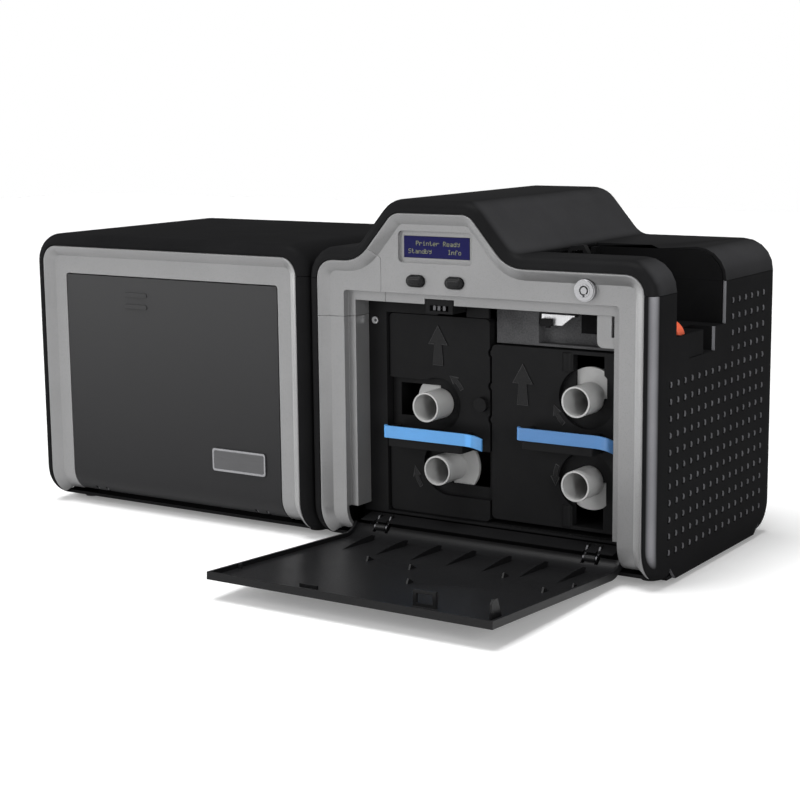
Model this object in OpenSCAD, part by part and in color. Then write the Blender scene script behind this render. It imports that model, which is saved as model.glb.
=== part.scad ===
// Desktop card printer with a laminating module on its left.
// Build frame: X to the right from the printer's left side, Y to the back from the
// front rim, Z up from the table. The finished part is moved to its own origin.

/* [Printer body] */
// Width of the printer
body_w = 317; // [300:1:340]
// Depth of the printer, front rim to back
body_d = 235; // [232:1:260]
// Height of the feet
foot_h = 4; // [3:0.5:8]
// Height of the flat shoulders above the table
shoulder_z = 252; // [250:1:262]
// Height of the raised middle above the table
hump_z = 292; // [286:1:300]
// Left end of the raised middle's top
hump_x0 = 80.5; // [76:0.5:86]
// Right end of the raised middle's top
hump_x1 = 161; // [156:0.5:168]
// How far each slope of the raised middle runs sideways
hump_run = 34; // [30:0.5:40]
// Thickness of the moulded covers
wall = 2.6; // [2.2:0.1:3.2]
// Radius of the top side corners
corner_r = 26; // [24:0.5:30]
// Radius at the top of each slope
hump_r = 25; // [23:0.5:28]
// Radius at the foot of each slope
slope_foot_r = 19; // [12:0.5:24]
// Round of the black covers around the front rim
edge_r = 10.3; // [9:0.1:11]
// Radius of the curved front underside
under_r = 30; // [28:0.5:34]
// Radius of the lower back corner
heel_r = 26; // [20:0.5:30]
// Radius of the upright back edges
rear_r = 8; // [6:0.5:10]
// Height of a screw head
screw_h = 1; // [0.6:0.1:1.4]
// Seam gap between neighbouring covers
seam = 0.3; // [0.2:0.05:0.5]

/* [Front bezel] */
// Width of the sloping band inside the rim
band_w = 9.6; // [8:0.1:10]
// How far the flat face lies behind the rim
face_y = 5.8; // [5:0.1:7]
// Thickness of the bezel's face
face_t = 3; // [2.5:0.1:3.5]
// Width of each flat upright beside the door
land_w = 13.6; // [13:0.1:16]
// Height of the door opening's top edge
open_z = 216.5; // [214:0.5:218]
// Width of the ledge that the door shuts against
ledge_w = 7; // [6:0.1:8]
// Height of the ledge under the top edge
ledge_h = 8.5; // [7:0.1:9]
// Gap between the door and its ledge
ledge_gap = 0.6; // [0.4:0.1:1]
// Thickness of the ledge
ledge_t = 2; // [1.8:0.1:2.4]
// Plane of the inner frame behind the bezel
inner_y = 32; // [31:0.5:33]
// Height of the seam across the left upright
pillar_seam_z = 194.4; // [190:0.2:200]
// Upright seam of the bezel's upper left piece
corner_seam_x = 70.4; // [66:0.2:74]

/* [Display and buttons] */
// Left edge of the display window
window_x = 91.2; // [89:0.1:94]
// Width of the display window
window_w = 61.3; // [56:0.1:63]
// Lower edge of the display window
window_z = 245.4; // [244:0.1:247]
// Height of the display window
window_h = 17.4; // [16:0.1:18]
// Rim of the recess around the display window
window_rim = 4; // [3:0.1:4.5]
// Depth of the display recess
window_depth = 3; // [2:0.1:4]
// Height of the button centres
button_z = 227; // [225.5:0.1:228]
// Centre of the left button
button_x0 = 104; // [100:0.5:106]
// Distance between the buttons
button_pitch = 36.2; // [32:0.1:38]
// Width of a button
button_w = 16.4; // [14:0.1:17]
// Height of a button
button_h = 9; // [8:0.1:9.5]
// Travel of a button
button_travel = 1.2; // [0.8:0.1:1.5]
// Gap around a button
button_gap = 0.4; // [0.3:0.05:0.6]

/* [Lock] */
// Distance of the lock from the printer's right side
lock_inset = 60.6; // [58:0.2:62]
// Height of the lock
lock_z = 227.6; // [226:0.1:228]
// Radius of the lock's collar
lock_r = 8.6; // [8:0.1:9]
// Radius of the turning barrel
barrel_r = 5; // [4.5:0.1:5.5]
// How far the collar stands proud
lock_proud = 5; // [4:0.1:6]
// Running clearance of turning fits
fit = 0.05; // [0.03:0.01:0.08]

/* [Doors] */
// Thickness of a door's skin
door_t = 2.6; // [2.2:0.1:3]
// Depth of the rim around a door
door_rim = 6; // [5:0.1:6]
// Thickness of a door's rim
door_rim_t = 2.2; // [1.8:0.1:2.6]
// Gap around a closed door
door_gap = 1; // [0.8:0.1:1.4]
// Height of the hinge axis above the foot plane
hinge_up = 13; // [12.6:0.1:13.4]
// Distance of the hinge axis behind the rim
hinge_y = 17; // [16.8:0.1:17.4]
// Angle by which the front door stands open
door_open = 87; // [84:0.5:88]
// Angle at which a door's curved foot ends
door_foot_a = 57; // [54:0.5:58]
// Radius of the hinge pins
pin_r = 1.6; // [1.4:0.1:1.7]
// Radius of the hinge knuckles
knuckle_r = 3.2; // [3:0.1:3.4]
// Width of a hinge knuckle
knuckle_w = 9; // [8:0.5:12]
// Distance of each hinge from the door's side
hinge_in = 22; // [20:0.5:30]
// Number of curved ribs inside the front door
door_ribs = 7; // [5:1:8]

/* [Ribbon cartridge] */
// Ribbon cartridge from the mouth's left side
ribbon_in = 18.5; // [17.5:0.5:19.5]
// Share of the mouth's free width that the ribbon cartridge takes
ribbon_share = 0.457; // [0.44:0.001:0.46]
// Underside of the ribbon cartridge
ribbon_z = 29.5; // [29:0.5:31]
// Height of the ribbon cartridge
ribbon_h = 166.5; // [162:0.5:167]
// Front plane of both cartridges
cart_y = 35; // [34.5:0.5:36]
// Depth of both cartridges
cart_d = 130; // [120:1:132]
// Wall of a cartridge
cart_t = 2.4; // [2:0.1:3]
// Depth of the front pockets
pocket_d = 5; // [4:0.5:7]
// Clearance between a cartridge and its frame
cart_gap = 1; // [0.6:0.1:1.2]
// Upper ribbon core from the cartridge's left side
ribbon_core_x1 = 46.5; // [46:0.1:48]
// Upper ribbon core above the cartridge's underside
ribbon_core_z1 = 93.5; // [93:0.1:95]
// Lower ribbon core from the cartridge's left side
ribbon_core_x2 = 57.2; // [56:0.1:58]
// Lower ribbon core above the cartridge's underside
ribbon_core_z2 = 42; // [41:0.1:43]

/* [Film cartridge] */
// Gap between the two cartridges
between = 2; // [1.6:0.1:3]
// Film cartridge from the mouth's right side
film_in = 5.5; // [4:0.5:7]
// Underside of the film cartridge above the ribbon cartridge's
film_up = 3.5; // [3:0.1:4]
// Height of the film cartridge
film_h = 143; // [141:0.5:144]
// Film cores from the cartridge's right side
film_core_in = 28.8; // [28:0.1:30]
// Upper film core below the cartridge's top
film_core_down = 37; // [36:0.1:38]
// Lower film core above the cartridge's underside
film_core_z2 = 39.6; // [39:0.1:41]
// Width of the dark channel
channel_w = 27; // [26:0.5:28]
// Width of the round post beside the channel
post_w = 10; // [9:0.5:11]

/* [Cores and handles] */
// Outer radius of a core tube
core_r = 12.2; // [11.5:0.1:12.4]
// Bore radius of a core tube
core_bore = 10.8; // [10:0.1:11]
// Front end of the core tubes
core_y = 16; // [15:0.5:18]
// Radius of the round pockets
pocket_r = 24.3; // [23:0.1:24.5]
// Radius of the flanges
flange_r = 24; // [22:0.1:24.5]
// Thickness of a flange
flange_t = 3; // [2:0.1:4]
// Radius of a full roll
full_roll_r = 19; // [17:0.1:20]
// Radius of a part-used roll
used_roll_r = 15; // [13.5:0.1:16]
// Height of a handle's coloured band
grip_h = 10; // [8:0.1:10.4]
// Thickness of a handle's band
grip_t = 1.8; // [1.6:0.1:2.4]
// Front plane of the handles
grip_y = 16; // [15.5:0.1:18]
// Ribbon handle above the cartridge's underside
ribbon_grip_z = 64.9; // [64:0.1:66]
// Film handle below the middle between the film cores
film_grip_down = 1.5; // [1:0.1:2]
// How far a handle's right tip hangs down
tip_drop = 4.4; // [3:0.1:5]
// Pull-out travel of a cartridge
cart_travel = 190; // [150:5:200]

/* [Card hopper] */
// Front of the hopper bay
bay_y0 = 35; // [33:0.5:36]
// Back of the hopper bay
bay_y1 = 129; // [126:0.5:131]
// Left end of the hopper bay
bay_x0 = 203; // [202:0.5:204]
// Floor of the hopper bay above the film cartridge
bay_up = 16; // [14:0.5:17]
// Wall of the hopper liner
liner_t = 2; // [1.8:0.1:2.2]
// Front of the finger notch
notch_y0 = 87.2; // [84:0.2:90]
// Back of the finger notch
notch_y1 = 108; // [105:0.2:110]
// Depth of the finger notch below the floor
notch_h = 19; // [16:0.5:20]
// Radius of the feed roller
feed_r = 14; // [12:0.5:14.5]
// Width of the feed roller
feed_w = 12; // [9:0.5:13]
// Feed roller from the printer's right side
feed_inset = 18.5; // [18:0.1:20]
// How far the feed roller's axis lies below the floor
feed_drop = 3.6; // [3.4:0.1:4.4]

/* [Side pattern] */
// Columns of dimples
dimple_cols = 15; // [12:1:15]
// Rows of dimples over the full depth
dimple_rows = 11; // [9:1:11]
// Extra rows beside the hopper notch
dimple_top_rows = 4; // [3:1:4]
// Columns in the extra rows
dimple_top_cols = 6; // [4:1:6]
// Distance between dimples
dimple_pitch = 13; // [12.5:0.1:13.1]
// Radius of a dimple
dimple_r = 2.9; // [2.4:0.1:3.2]
// Depth of a dimple
dimple_depth = 1.3; // [1:0.1:1.6]
// First column behind the rim
dimple_y = 26; // [25:0.2:27]
// First row above the table
dimple_z = 27; // [26:0.2:28]

/* [Laminating module] */
// Width of the module
module_w = 309; // [300:1:315]
// Gap between module and printer
module_gap = 0.8; // [0.6:0.1:1.2]
// Radius of the module's laminating rollers
lam_r = 14; // [12:0.5:15]
// Width of the name plate
plate_w = 58; // [50:0.5:60]
// Height of the name plate
plate_h = 20; // [18:0.5:22]
// Name plate from the door's right side
plate_in = 15.5; // [14:0.5:18]
// Lower edge of the name plate above the table
plate_z = 50; // [48:0.5:55]

/* [Works] */
// Front of the plate that carries the drives
mid_y = 170; // [168:0.5:172]
// Thickness of that plate
mid_t = 2; // [1.5:0.1:2.5]
// Radius of the platen roller
platen_r = 8; // [7:0.1:8.5]
// Radius of the roller shafts
shaft_r = 3; // [2.5:0.1:3.5]
// Distance of the platen roller from the left side
platen_x = 176; // [175:0.2:177]
// Height of the platen roller
platen_z = 213; // [212.5:0.1:213.5]
// Gear module
gear_m = 1; // [0.9:0.05:1]
// Teeth of the drive gear
gear_teeth = 40; // [38:1:40]
// Teeth of the motor pinion
pinion_teeth = 16; // [16:1:18]
// Width of the gears
gear_w = 6; // [5:0.5:8]
// Radius of the drive motor
motor_r = 14; // [12:0.5:14.5]
// Width of the cooling fan
fan_w = 60; // [58:0.5:60]

/* [Hidden] */
$fn = 48;

// Origin of the finished part: middle of its bounding box, on the table
tip_y = hinge_y - (open_z - door_gap - foot_h - hinge_up) * sin(door_open)
    - (hinge_y - face_y) * cos(door_open);
origin_x = (body_w - module_w) / 2;
origin_y = (body_d + screw_h + tip_y) / 2;

seam_z = shoulder_z - corner_r;
bend_y = under_r;
bend_z = foot_h + under_r;
hinge_z = foot_h + hinge_up;
open_in = edge_r + band_w + land_w;
open_x0 = open_in;
open_x1 = body_w - open_in;
mouth_x0 = open_x0 + ledge_w;
mouth_x1 = open_x1 - ledge_w;
mouth_z = open_z - ledge_h;
ledge_y = face_y + door_rim + ledge_gap;
door_top = open_z - door_gap;
module_x0 = -module_w;
module_x1 = -module_gap;
module_open_x0 = module_x0 + open_in;
module_open_x1 = module_x1 - open_in;
ribbon_x = mouth_x0 + ribbon_in;
free_w = mouth_x1 - film_in - ribbon_x - between;
ribbon_w = free_w * ribbon_share;
film_w = free_w - ribbon_w;
film_x = ribbon_x + ribbon_w + between;
film_z = ribbon_z + film_up;
cart_y1 = cart_y + cart_d;
film_core_x = film_w - film_core_in;
film_core_z1 = film_h - film_core_down;
film_grip_z = (film_core_z1 + film_core_z2) / 2 - film_grip_down;
flange_y = cart_y + pocket_d + cart_t + 0.6;
latch_z = [for (f = [0.57, 0.76, 0.95]) film_z + film_h * f];
bay_z = film_z + film_h + bay_up;
lock_x = body_w - lock_inset;
feed_x = body_w - feed_inset;
feed_z = bay_z - feed_drop;
pinion_x = platen_x - gear_m * (gear_teeth + pinion_teeth) / 2;
gear_y = mid_y + mid_t + 2;
big = 900;

// ---------- helpers ----------

function unit(v) = v / norm(v);
function inward(a, b) = let(u = unit([b[0] - a[0], b[1] - a[1]])) [u[1], -u[0]];

// Corner i of an outline that runs clockwise, moved in by d
function moved(c, i, d) =
    let(last = len(c) - 1)
    let(n1 = inward(c[max(i - 1, 0)], c[max(i, 1)]))
    let(n2 = inward(c[min(i, last - 1)], c[min(i + 1, last)]))
    [c[i][0], c[i][1]] + (n1 + n2) * d / (1 + n1 * n2);

function turns_right(u1, u2) = u1[0] * u2[1] - u1[1] * u2[0] < 0;

// Points of an arc of radius r that rounds corner p1, moved in by d
function arc_points(p0, p1, p2, r, d, n) =
    let(u1 = unit(p1 - p0), u2 = unit(p2 - p1))
    let(right = turns_right(u1, u2))
    let(rr = right ? r - d : r + d)
    let(turn = acos(u1 * u2))
    let(s = p1 - u1 * rr * tan(turn / 2))
    let(c = s + (right ? [u1[1], -u1[0]] : [-u1[1], u1[0]]) * rr)
    let(a0 = atan2(s[1] - c[1], s[0] - c[0]))
    [for (k = [0:n]) let(a = a0 + (right ? -1 : 1) * turn * k / n) c + rr * [cos(a), sin(a)]];

// Open path through corners [x, z, radius], moved in by d
function path(c, d, n = 5) =
    let(p = [for (i = [0:len(c) - 1]) moved(c, i, d)])
    concat([p[0]],
        [for (i = [1:len(c) - 2]) each arc_points(p[i - 1], p[i], p[i + 1], c[i][2], d, n)],
        [p[len(c) - 1]]);

// Closed outline with round corners
function ring(c, n = 6) =
    [for (i = [0:len(c) - 1])
        let(a = c[(i + len(c) - 1) % len(c)], b = c[i], e = c[(i + 1) % len(c)])
        each (b[2] > 0
            ? arc_points([a[0], a[1]], [b[0], b[1]], [e[0], e[1]], b[2], 0, n)
            : [[b[0], b[1]]])];

// Sweeps a closed section of [inset, y] points along an outline with slopes, in flat faces
module swept_faces(c, profile) {
    rows = [for (p = profile) let(q = path(c, p[0])) [for (i = [1:len(q) - 2])
        [q[i][0], p[1], q[i][1]]]];
    n = len(rows[0]);
    m = len(rows);
    walls = [for (j = [0:m - 1], i = [0:n - 2])
        let(k = (j + 1) % m)
        each [[j * n + i, j * n + i + 1, k * n + i + 1], [j * n + i, k * n + i + 1, k * n + i]]];
    starts = [[for (j = [0:m - 1]) j * n]];
    ends = [[for (j = [m - 1:-1:0]) j * n + n - 1]];
    polyhedron([for (r = rows) each r], concat(walls, starts, ends));
}

// The same along the square outline of the module, in round corners
module swept_square(band) {
    for (side = [0, 1])
        translate([side ? module_x1 - corner_r : module_x0 + corner_r, 0, seam_z])
            rotate([-90, 0, 0])
                rotate([0, 0, side ? -90 : 180])
                    rotate_extrude(angle = 90, $fn = 96)
                        section(corner_r, -1, band);
    translate([module_x0 + corner_r, 0, shoulder_z])
        rotate([0, 90, 0])
            linear_extrude(module_x1 - module_x0 - 2 * corner_r)
                section(0, 1, band);
}

// Section at r + m * inset across and y up
module section(r, m, band) {
    if (band)
        polygon([for (p = band_profile) [r + m * p[0], p[1]]]);
    else {
        quarter(r + m * edge_r, edge_r, -m, -1, edge_r);
        quarter(r + m * rear_r, body_d - rear_r, -m, 1, rear_r);
        translate([m > 0 ? r : r - wall, edge_r])
            square([wall, body_d - edge_r - rear_r]);
    }
}

// Quarter of a ring of outer radius a about (x, y), on the sides that sx and sy point to
module quarter(x, y, sx, sy, a) {
    translate([x, y])
        intersection() {
            difference() {
                circle(r = a, $fn = 96);
                circle(r = a - wall, $fn = 96);
            }
            translate([sx < 0 ? -a : 0, sy < 0 ? -a : 0])
                square([a, a]);
        }
}

// A box given by its ranges
module slab(x, y, z) {
    translate([x[0], y[0], z[0]])
        cube([x[1] - x[0], y[1] - y[0], z[1] - z[0]]);
}

module rod_x(y, z, r, x0, x1) {
    translate([x0, y, z])
        rotate([0, 90, 0])
            cylinder(h = x1 - x0, r = r);
}

module rod_y(x, z, r, y0, y1) {
    translate([x, y0, z])
        rotate([-90, 0, 0])
            cylinder(h = y1 - y0, r = r);
}

module rod_z(x, y, r, z0, z1) {
    translate([x, y, z0])
        cylinder(h = z1 - z0, r = r);
}

// Plate in the XZ plane, from y0 back by t
module facing(y0, t) {
    translate([0, y0 + t, 0])
        rotate([90, 0, 0])
            linear_extrude(t)
                children();
}

// Plate in the YZ plane, from x0 to the right by t
module sideways(x0, t) {
    translate([x0, 0, 0])
        rotate([90, 0, 90])
            linear_extrude(t)
                children();
}

// Turns a [radius, x] profile about an axis along X, from a0 (0 is down) by a degrees
module turned(y, z, a0, a) {
    translate([0, y, z])
        rotate([0, 90, 0])
            rotate([0, 0, a0])
                rotate_extrude(angle = a, $fn = 96)
                    children();
}

// The same about the bend axis, from the front down by a degrees
module bent(a) {
    turned(bend_y, bend_z, -90, a)
        children();
}

// Section of a side cover where it turns under, rounded by r at turning radius big_r
module skirt(big_r, x1, r) {
    quarter(big_r - r, x1 - r, 1, 1, r);
    translate([0, x1 - wall])
        square([big_r - r, wall]);
}

module flat(c) {
    polygon(ring(c));
}

// Corners of an upright rectangle with corner radius r, clockwise
function box_ring(x, z, r) =
    [[x[0], z[0], r], [x[0], z[1], r], [x[1], z[1], r], [x[1], z[0], r]];

module placed() {
    translate([-origin_x, -origin_y, 0])
        children();
}

// Mirrors the printer's right side to its left
module flipped(x_mid) {
    translate([2 * x_mid, 0, 0])
        mirror([1, 0, 0])
            children();
}

// ---------- outlines ----------

hump_outline = [[0, seam_z, 0], [0, shoulder_z, corner_r],
    [hump_x0 - hump_run, shoulder_z, slope_foot_r], [hump_x0, hump_z, hump_r],
    [hump_x1, hump_z, hump_r], [hump_x1 + hump_run, shoulder_z, slope_foot_r],
    [body_w, shoulder_z, corner_r], [body_w, seam_z, 0]];

module_outline = [[module_x0, seam_z, 0], [module_x0, shoulder_z, corner_r],
    [module_x1, shoulder_z, corner_r], [module_x1, seam_z, 0]];

// Section of the top cover in flat faces: round front edge, round back edge, hollow below
cover_profile = concat(
    [for (a = [0:15:90]) [edge_r * (1 - sin(a)), edge_r * (1 - cos(a))]],
    [for (a = [0:22.5:90]) [rear_r * (1 - cos(a)), body_d - rear_r * (1 - sin(a))]],
    [[rear_r, body_d - wall], [wall, body_d - rear_r], [wall, edge_r], [edge_r, wall]]);

// Section of the sloping band inside the rim
band_profile = [[edge_r + seam, face_y + face_t], [edge_r + seam, 0.8], [edge_r + seam + 0.7, 0],
    [edge_r + 2.2, 0.3], [edge_r + band_w, face_y], [edge_r + band_w, face_y + face_t]];

// ---------- covers ----------

// Upright cover at the right side, from x1 inwards
module side_cover(x1) {
    translate([0, 0, foot_h + heel_r])
        linear_extrude(seam_z - seam - foot_h - heel_r) {
            quarter(x1 - rear_r, body_d - rear_r, 1, 1, rear_r);
            translate([x1 - wall, bend_y])
                square([wall, body_d - rear_r - bend_y]);
        }
    translate([0, 0, bend_z])
        linear_extrude(seam_z - seam - bend_z) {
            quarter(x1 - edge_r, edge_r, 1, -1, edge_r);
            translate([x1 - wall, edge_r])
                square([wall, bend_y - edge_r]);
        }
    bent(90)
        skirt(under_r, x1, edge_r);
    sideways(x1 - wall, wall)
        polygon([[bend_y, foot_h + heel_r], [body_d - heel_r, foot_h + heel_r],
            [body_d - heel_r, foot_h + rear_r], [body_d - heel_r - 10, foot_h],
            [bend_y + edge_r, foot_h], [bend_y, foot_h + edge_r]]);
    turned(body_d - heel_r, foot_h + heel_r, 0, 90)
        skirt(heel_r, x1, rear_r);
}

module right_cover() {
    color("#2b2b2d")
        placed()
            difference() {
                side_cover(body_w);
                dimples();
                slab([body_w - edge_r, body_w + 1], [bay_y0, bay_y1], [bay_z, seam_z + 1]);
                slab([body_w - edge_r, body_w + 1], [notch_y0, notch_y1],
                    [bay_z - notch_h, seam_z]);
                slab([body_w - 0.8, body_w + 1], [notch_y0 - 28, notch_y1],
                    [bay_z - notch_h, bay_z + 1]);
            }
}

module dimples() {
    first = dimple_cols - dimple_top_cols;
    for (c = [0:dimple_cols - 1])
        for (r = [0:dimple_rows + dimple_top_rows - 1])
            if (r < dimple_rows || c >= first)
                rod_x(dimple_y + c * dimple_pitch, dimple_z + r * dimple_pitch, dimple_r,
                    body_w - dimple_depth, body_w + 1);
}

module left_cover() {
    color("#2b2b2d")
        placed()
            difference() {
                flipped(body_w / 2)
                    side_cover(body_w);
                slab([-1, wall + 1], [bay_y0 + 20, bay_y1 - 20], [platen_z - 6, platen_z + 6]);
            }
}

module rear_cover() {
    inset = rear_r + seam;
    vents = 9;
    color("#2b2b2d")
        placed()
            facing(body_d - wall, wall)
                difference() {
                    polygon(concat(path(hump_outline, inset),
                        [[body_w - inset, foot_h + heel_r + 1], [inset, foot_h + heel_r + 1]]));
                    translate([fan_x, fan_z])
                        circle(r = fan_w / 2 - 3);
                    translate([inlet_x, inlet_z])
                        square([inlet_w, inlet_h]);
                    translate([inlet_x + inlet_w + 6, inlet_z])
                        square([switch_w, inlet_h]);
                    translate([port_x, port_z])
                        square([port_w, port_h]);
                    for (k = [0:vents - 1])
                        translate([70, 120 + 9 * k])
                            square([70, 3]);
                }
    color("#2b2b2d")
        placed()
            facing(body_d - wall, wall)
                intersection() {
                    translate([fan_x, fan_z])
                        circle(r = fan_w / 2 - 2.5);
                    for (k = [-3:3])
                        translate([fan_x - fan_w / 2, fan_z + 8 * k - 1])
                            square([fan_w, 2]);
                }
}

module top_cover() {
    color("#2e2e30")
        placed()
            difference() {
                swept_faces(hump_outline, cover_profile);
                slab([bay_x0, body_w + 1], [bay_y0, bay_y1], [seam_z - 1, shoulder_z + 20]);
            }
}

module base_pan() {
    lip = door_foot_a + 8;
    x0 = wall + seam;
    x1 = body_w - wall - seam;
    color("#242426")
        placed() {
            pan(x0, x1, lip);
            pan_ribs(x0, x1);
        }
}

// Curved front lip, floor and curved heel of a housing
module pan(x0, x1, lip) {
    outer = [for (a = [lip:5:90]) [bend_y - under_r * cos(a), bend_z - under_r * sin(a)]];
    inner = [for (a = [90:-5:lip]) [bend_y - (under_r - wall) * cos(a),
        bend_z - (under_r - wall) * sin(a)]];
    n = edge_r - wall;
    m = rear_r - wall;
    y2 = body_d - heel_r;
    top = foot_h + heel_r + 1 - seam;
    sideways(x0 + n, x1 - x0 - 2 * n)
        polygon(concat(outer, [[bend_y + 1, foot_h], [bend_y + 1, foot_h + wall]], inner));
    slab([x0, x1], [bend_y + seam, y2 - seam], [foot_h, foot_h + wall]);
    slab([x0 + m, x1 - m], [y2 - 1, y2], [foot_h, foot_h + wall]);
    turned(y2, foot_h + heel_r, 0, 90)
        translate([heel_r - wall, x0 + m])
            square([wall, x1 - x0 - 2 * m]);
    slab([x0 + m, x1 - m], [body_d - wall, body_d], [foot_h + heel_r, top]);
}

// Two floor ribs that the works stand on
module pan_ribs(x0, x1) {
    for (y = [mid_y - 3, cart_y + 25])
        slab([x0 + 10, x1 - 10], [y, y + wall], [foot_h + wall - 0.01, floor_z]);
}

module rubber_feet() {
    r = 7;
    color("#1c1c1c")
        placed()
            for (x = [22, body_w - 22, module_x0 + 22, module_x1 - 22])
                for (y = [bend_y + 12, body_d - heel_r - 8])
                    rod_z(x, y, r, 0, foot_h);
}

// ---------- bezel ----------

// Section of an upright at the right side, from its outer edge at x1
function upright(x1) = [[x1 - edge_r - seam, face_y + face_t], [x1 - edge_r - seam, 0.8],
    [x1 - edge_r - seam - 0.7, 0], [x1 - edge_r - 2.2, 0.3], [x1 - edge_r - band_w, face_y],
    [x1 - open_in, face_y], [x1 - open_in, face_y + face_t]];

module bezel_upright(x1) {
    translate([0, 0, bend_z])
        linear_extrude(seam_z - bend_z)
            polygon(upright(x1));
    bent(door_foot_a + 5)
        polygon([for (p = upright(x1)) [under_r - p[1], p[0]]]);
    slab([x1 - open_in, x1 - open_in + ledge_t], [face_y + face_t - 0.01, ledge_y + ledge_t],
        [bend_z, open_z + ledge_t]);
    slab([x1 - open_in - ledge_w, x1 - open_in + 0.01], [ledge_y, ledge_y + ledge_t],
        [bend_z, open_z]);
    slab([x1 - open_in - ledge_w, x1 - open_in - ledge_w + ledge_t],
        [ledge_y + ledge_t - 0.01, inner_y], [bend_z, open_z]);
}

module bezel_top(outline, x0, x1) {
    inner = edge_r + band_w - 0.6;
    if (len(outline) > 4)
        swept_faces(outline, band_profile);
    else
        swept_square(true);
    facing(face_y, face_t)
        polygon(concat(path(outline, inner), [[x1 - inner, open_z], [x0 + inner, open_z]]));
    slab([x0 + open_in, x1 - open_in], [face_y + face_t - 0.01, ledge_y + ledge_t],
        [open_z, open_z + ledge_t]);
    slab([x0 + open_in, x1 - open_in], [ledge_y, ledge_y + ledge_t], [mouth_z, open_z + 0.01]);
    facing(face_y, face_t)
        for (x = [x0 + open_in, x1 - open_in])
            difference() {
                translate([x - 3, open_z - 3])
                    square([6, 3.01]);
                for (d = [-3, 3])
                    translate([x + d, open_z - 3])
                        circle(r = 3);
            }
}

// Region of the XZ plane that the bezel's upper left piece fills, grown by g
module corner_region(g) {
    facing(-1, inner_y + 2)
        polygon([[-5, pillar_seam_z - g], [corner_seam_x + g, pillar_seam_z - g],
            [corner_seam_x + g, 243.8], [corner_seam_x - 10 + g, 252.4],
            [corner_seam_x - 22 + g, hump_z], [-5, hump_z]]);
}

module bezel_panel() {
    color("#9a9a9c")
        placed()
            difference() {
                union() {
                    bezel_upright(body_w);
                    bezel_top(hump_outline, 0, body_w);
                    display_frame();
                }
                corner_region(seam / 2);
                slab([-1, corner_seam_x - 2], [-1, inner_y + 1], [0, pillar_seam_z]);
                slab([window_x, window_x + window_w], [-1, face_y + face_t + 4],
                    [window_z, window_z + window_h]);
                facing(face_y - 1, window_depth + 1)
                    flat(box_ring([window_x - window_rim, window_x + window_w + window_rim],
                        [window_z - window_rim, window_z + window_h + window_rim], 4));
                for (x = [button_x0, button_x0 + button_pitch])
                    facing(-1, ledge_y)
                        stadium(x, button_z, button_w + 2 * button_gap, button_h + 2 * button_gap);
                rod_y(lock_x, lock_z, barrel_r + 1.4, -1, ledge_y);
                rod_y(lock_x, lock_z, lock_r + 0.3, -1, face_y);
                slab([catch_x0, catch_x1], [-1 + ledge_y, ledge_y + 3],
                    [mouth_z - 1, mouth_z + 4.4]);
            }
}

// Pocket behind the face that holds the display
module display_frame() {
    slab([window_x - window_rim - 2, window_x + window_w + window_rim + 2],
        [face_y + 1, face_y + window_depth + 2],
        [window_z - window_rim - 2, window_z + window_h + window_rim + 2]);
}

module stadium(x, z, w, h) {
    translate([x - w / 2 + h / 2, z])
        circle(d = h);
    translate([x + w / 2 - h / 2, z])
        circle(d = h);
    translate([x - w / 2 + h / 2, z - h / 2])
        square([w - h, h]);
}

module bezel_corner() {
    color("#9a9a9c")
        placed()
            intersection() {
                union() {
                    flipped(body_w / 2)
                        bezel_upright(body_w);
                    bezel_top(hump_outline, 0, body_w);
                }
                corner_region(-seam / 2);
            }
}

module bezel_left_pillar() {
    color("#9a9a9c")
        placed()
            difference() {
                flipped(body_w / 2)
                    bezel_upright(body_w);
                slab([-1, body_w / 2], [-1, inner_y + 1], [pillar_seam_z - seam / 2, hump_z]);
            }
}

// The bezel's three smaller mouldings, each a solid of its own
module bezel_trim() {
    bezel_corner();
    bezel_left_pillar();
    lock_housing();
}

module lock_housing() {
    x0 = mouth_x1 - 15.5;
    color("#9a9a9c")
        placed()
            difference() {
                facing(ledge_y + ledge_t, inner_y - ledge_y - ledge_t)
                    flat([[x0, mouth_z - 25, 5], [x0, open_z, 0], [mouth_x1, open_z, 0],
                        [mouth_x1, mouth_z - 25, 0]]);
                slab([tab_x - 1, mouth_x1 + 1], [-1, inner_y - 3], [tab_z0 - 2, tab_z1 + 2]);
            }
}

// ---------- display, buttons, lock ----------

module display_window() {
    y0 = face_y + window_depth + 2;
    color("#2c2f8a")
        placed() {
            slab([window_x + 0.2, window_x + window_w - 0.2], [face_y + window_depth - 0.4, y0],
                [window_z + 0.2, window_z + window_h - 0.2]);
            slab([window_x - 4, window_x + window_w + 4], [y0, y0 + 6],
                [window_z - 4, window_z + window_h + 4]);
        }
}

module button(x) {
    proud = 2.2;
    back = face_y + face_t;
    color("#151517")
        placed() {
            facing(face_y - proud, back + button_travel + 1 - face_y + proud)
                stadium(x, button_z, button_w, button_h);
            facing(back + button_travel + 0.4, 1.6)
                stadium(x, button_z, button_w + 3, button_h + 1.6);
        }
}

module left_button() {
    button(button_x0);
}

module right_button() {
    button(button_x0 + button_pitch);
}

module lock_body() {
    color("#c8c8ca")
        placed()
            difference() {
                union() {
                    rod_y(lock_x, lock_z, lock_r - 0.8, face_y - lock_proud, face_y);
                    rod_y(lock_x, lock_z, lock_r, face_y - lock_proud + 1, face_y - 0.01);
                    rod_y(lock_x, lock_z, barrel_r + 1.3, face_y - 0.02, inner_y - 8);
                }
                rod_y(lock_x, lock_z, barrel_r + fit, face_y - lock_proud - 1, inner_y);
            }
}

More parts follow.
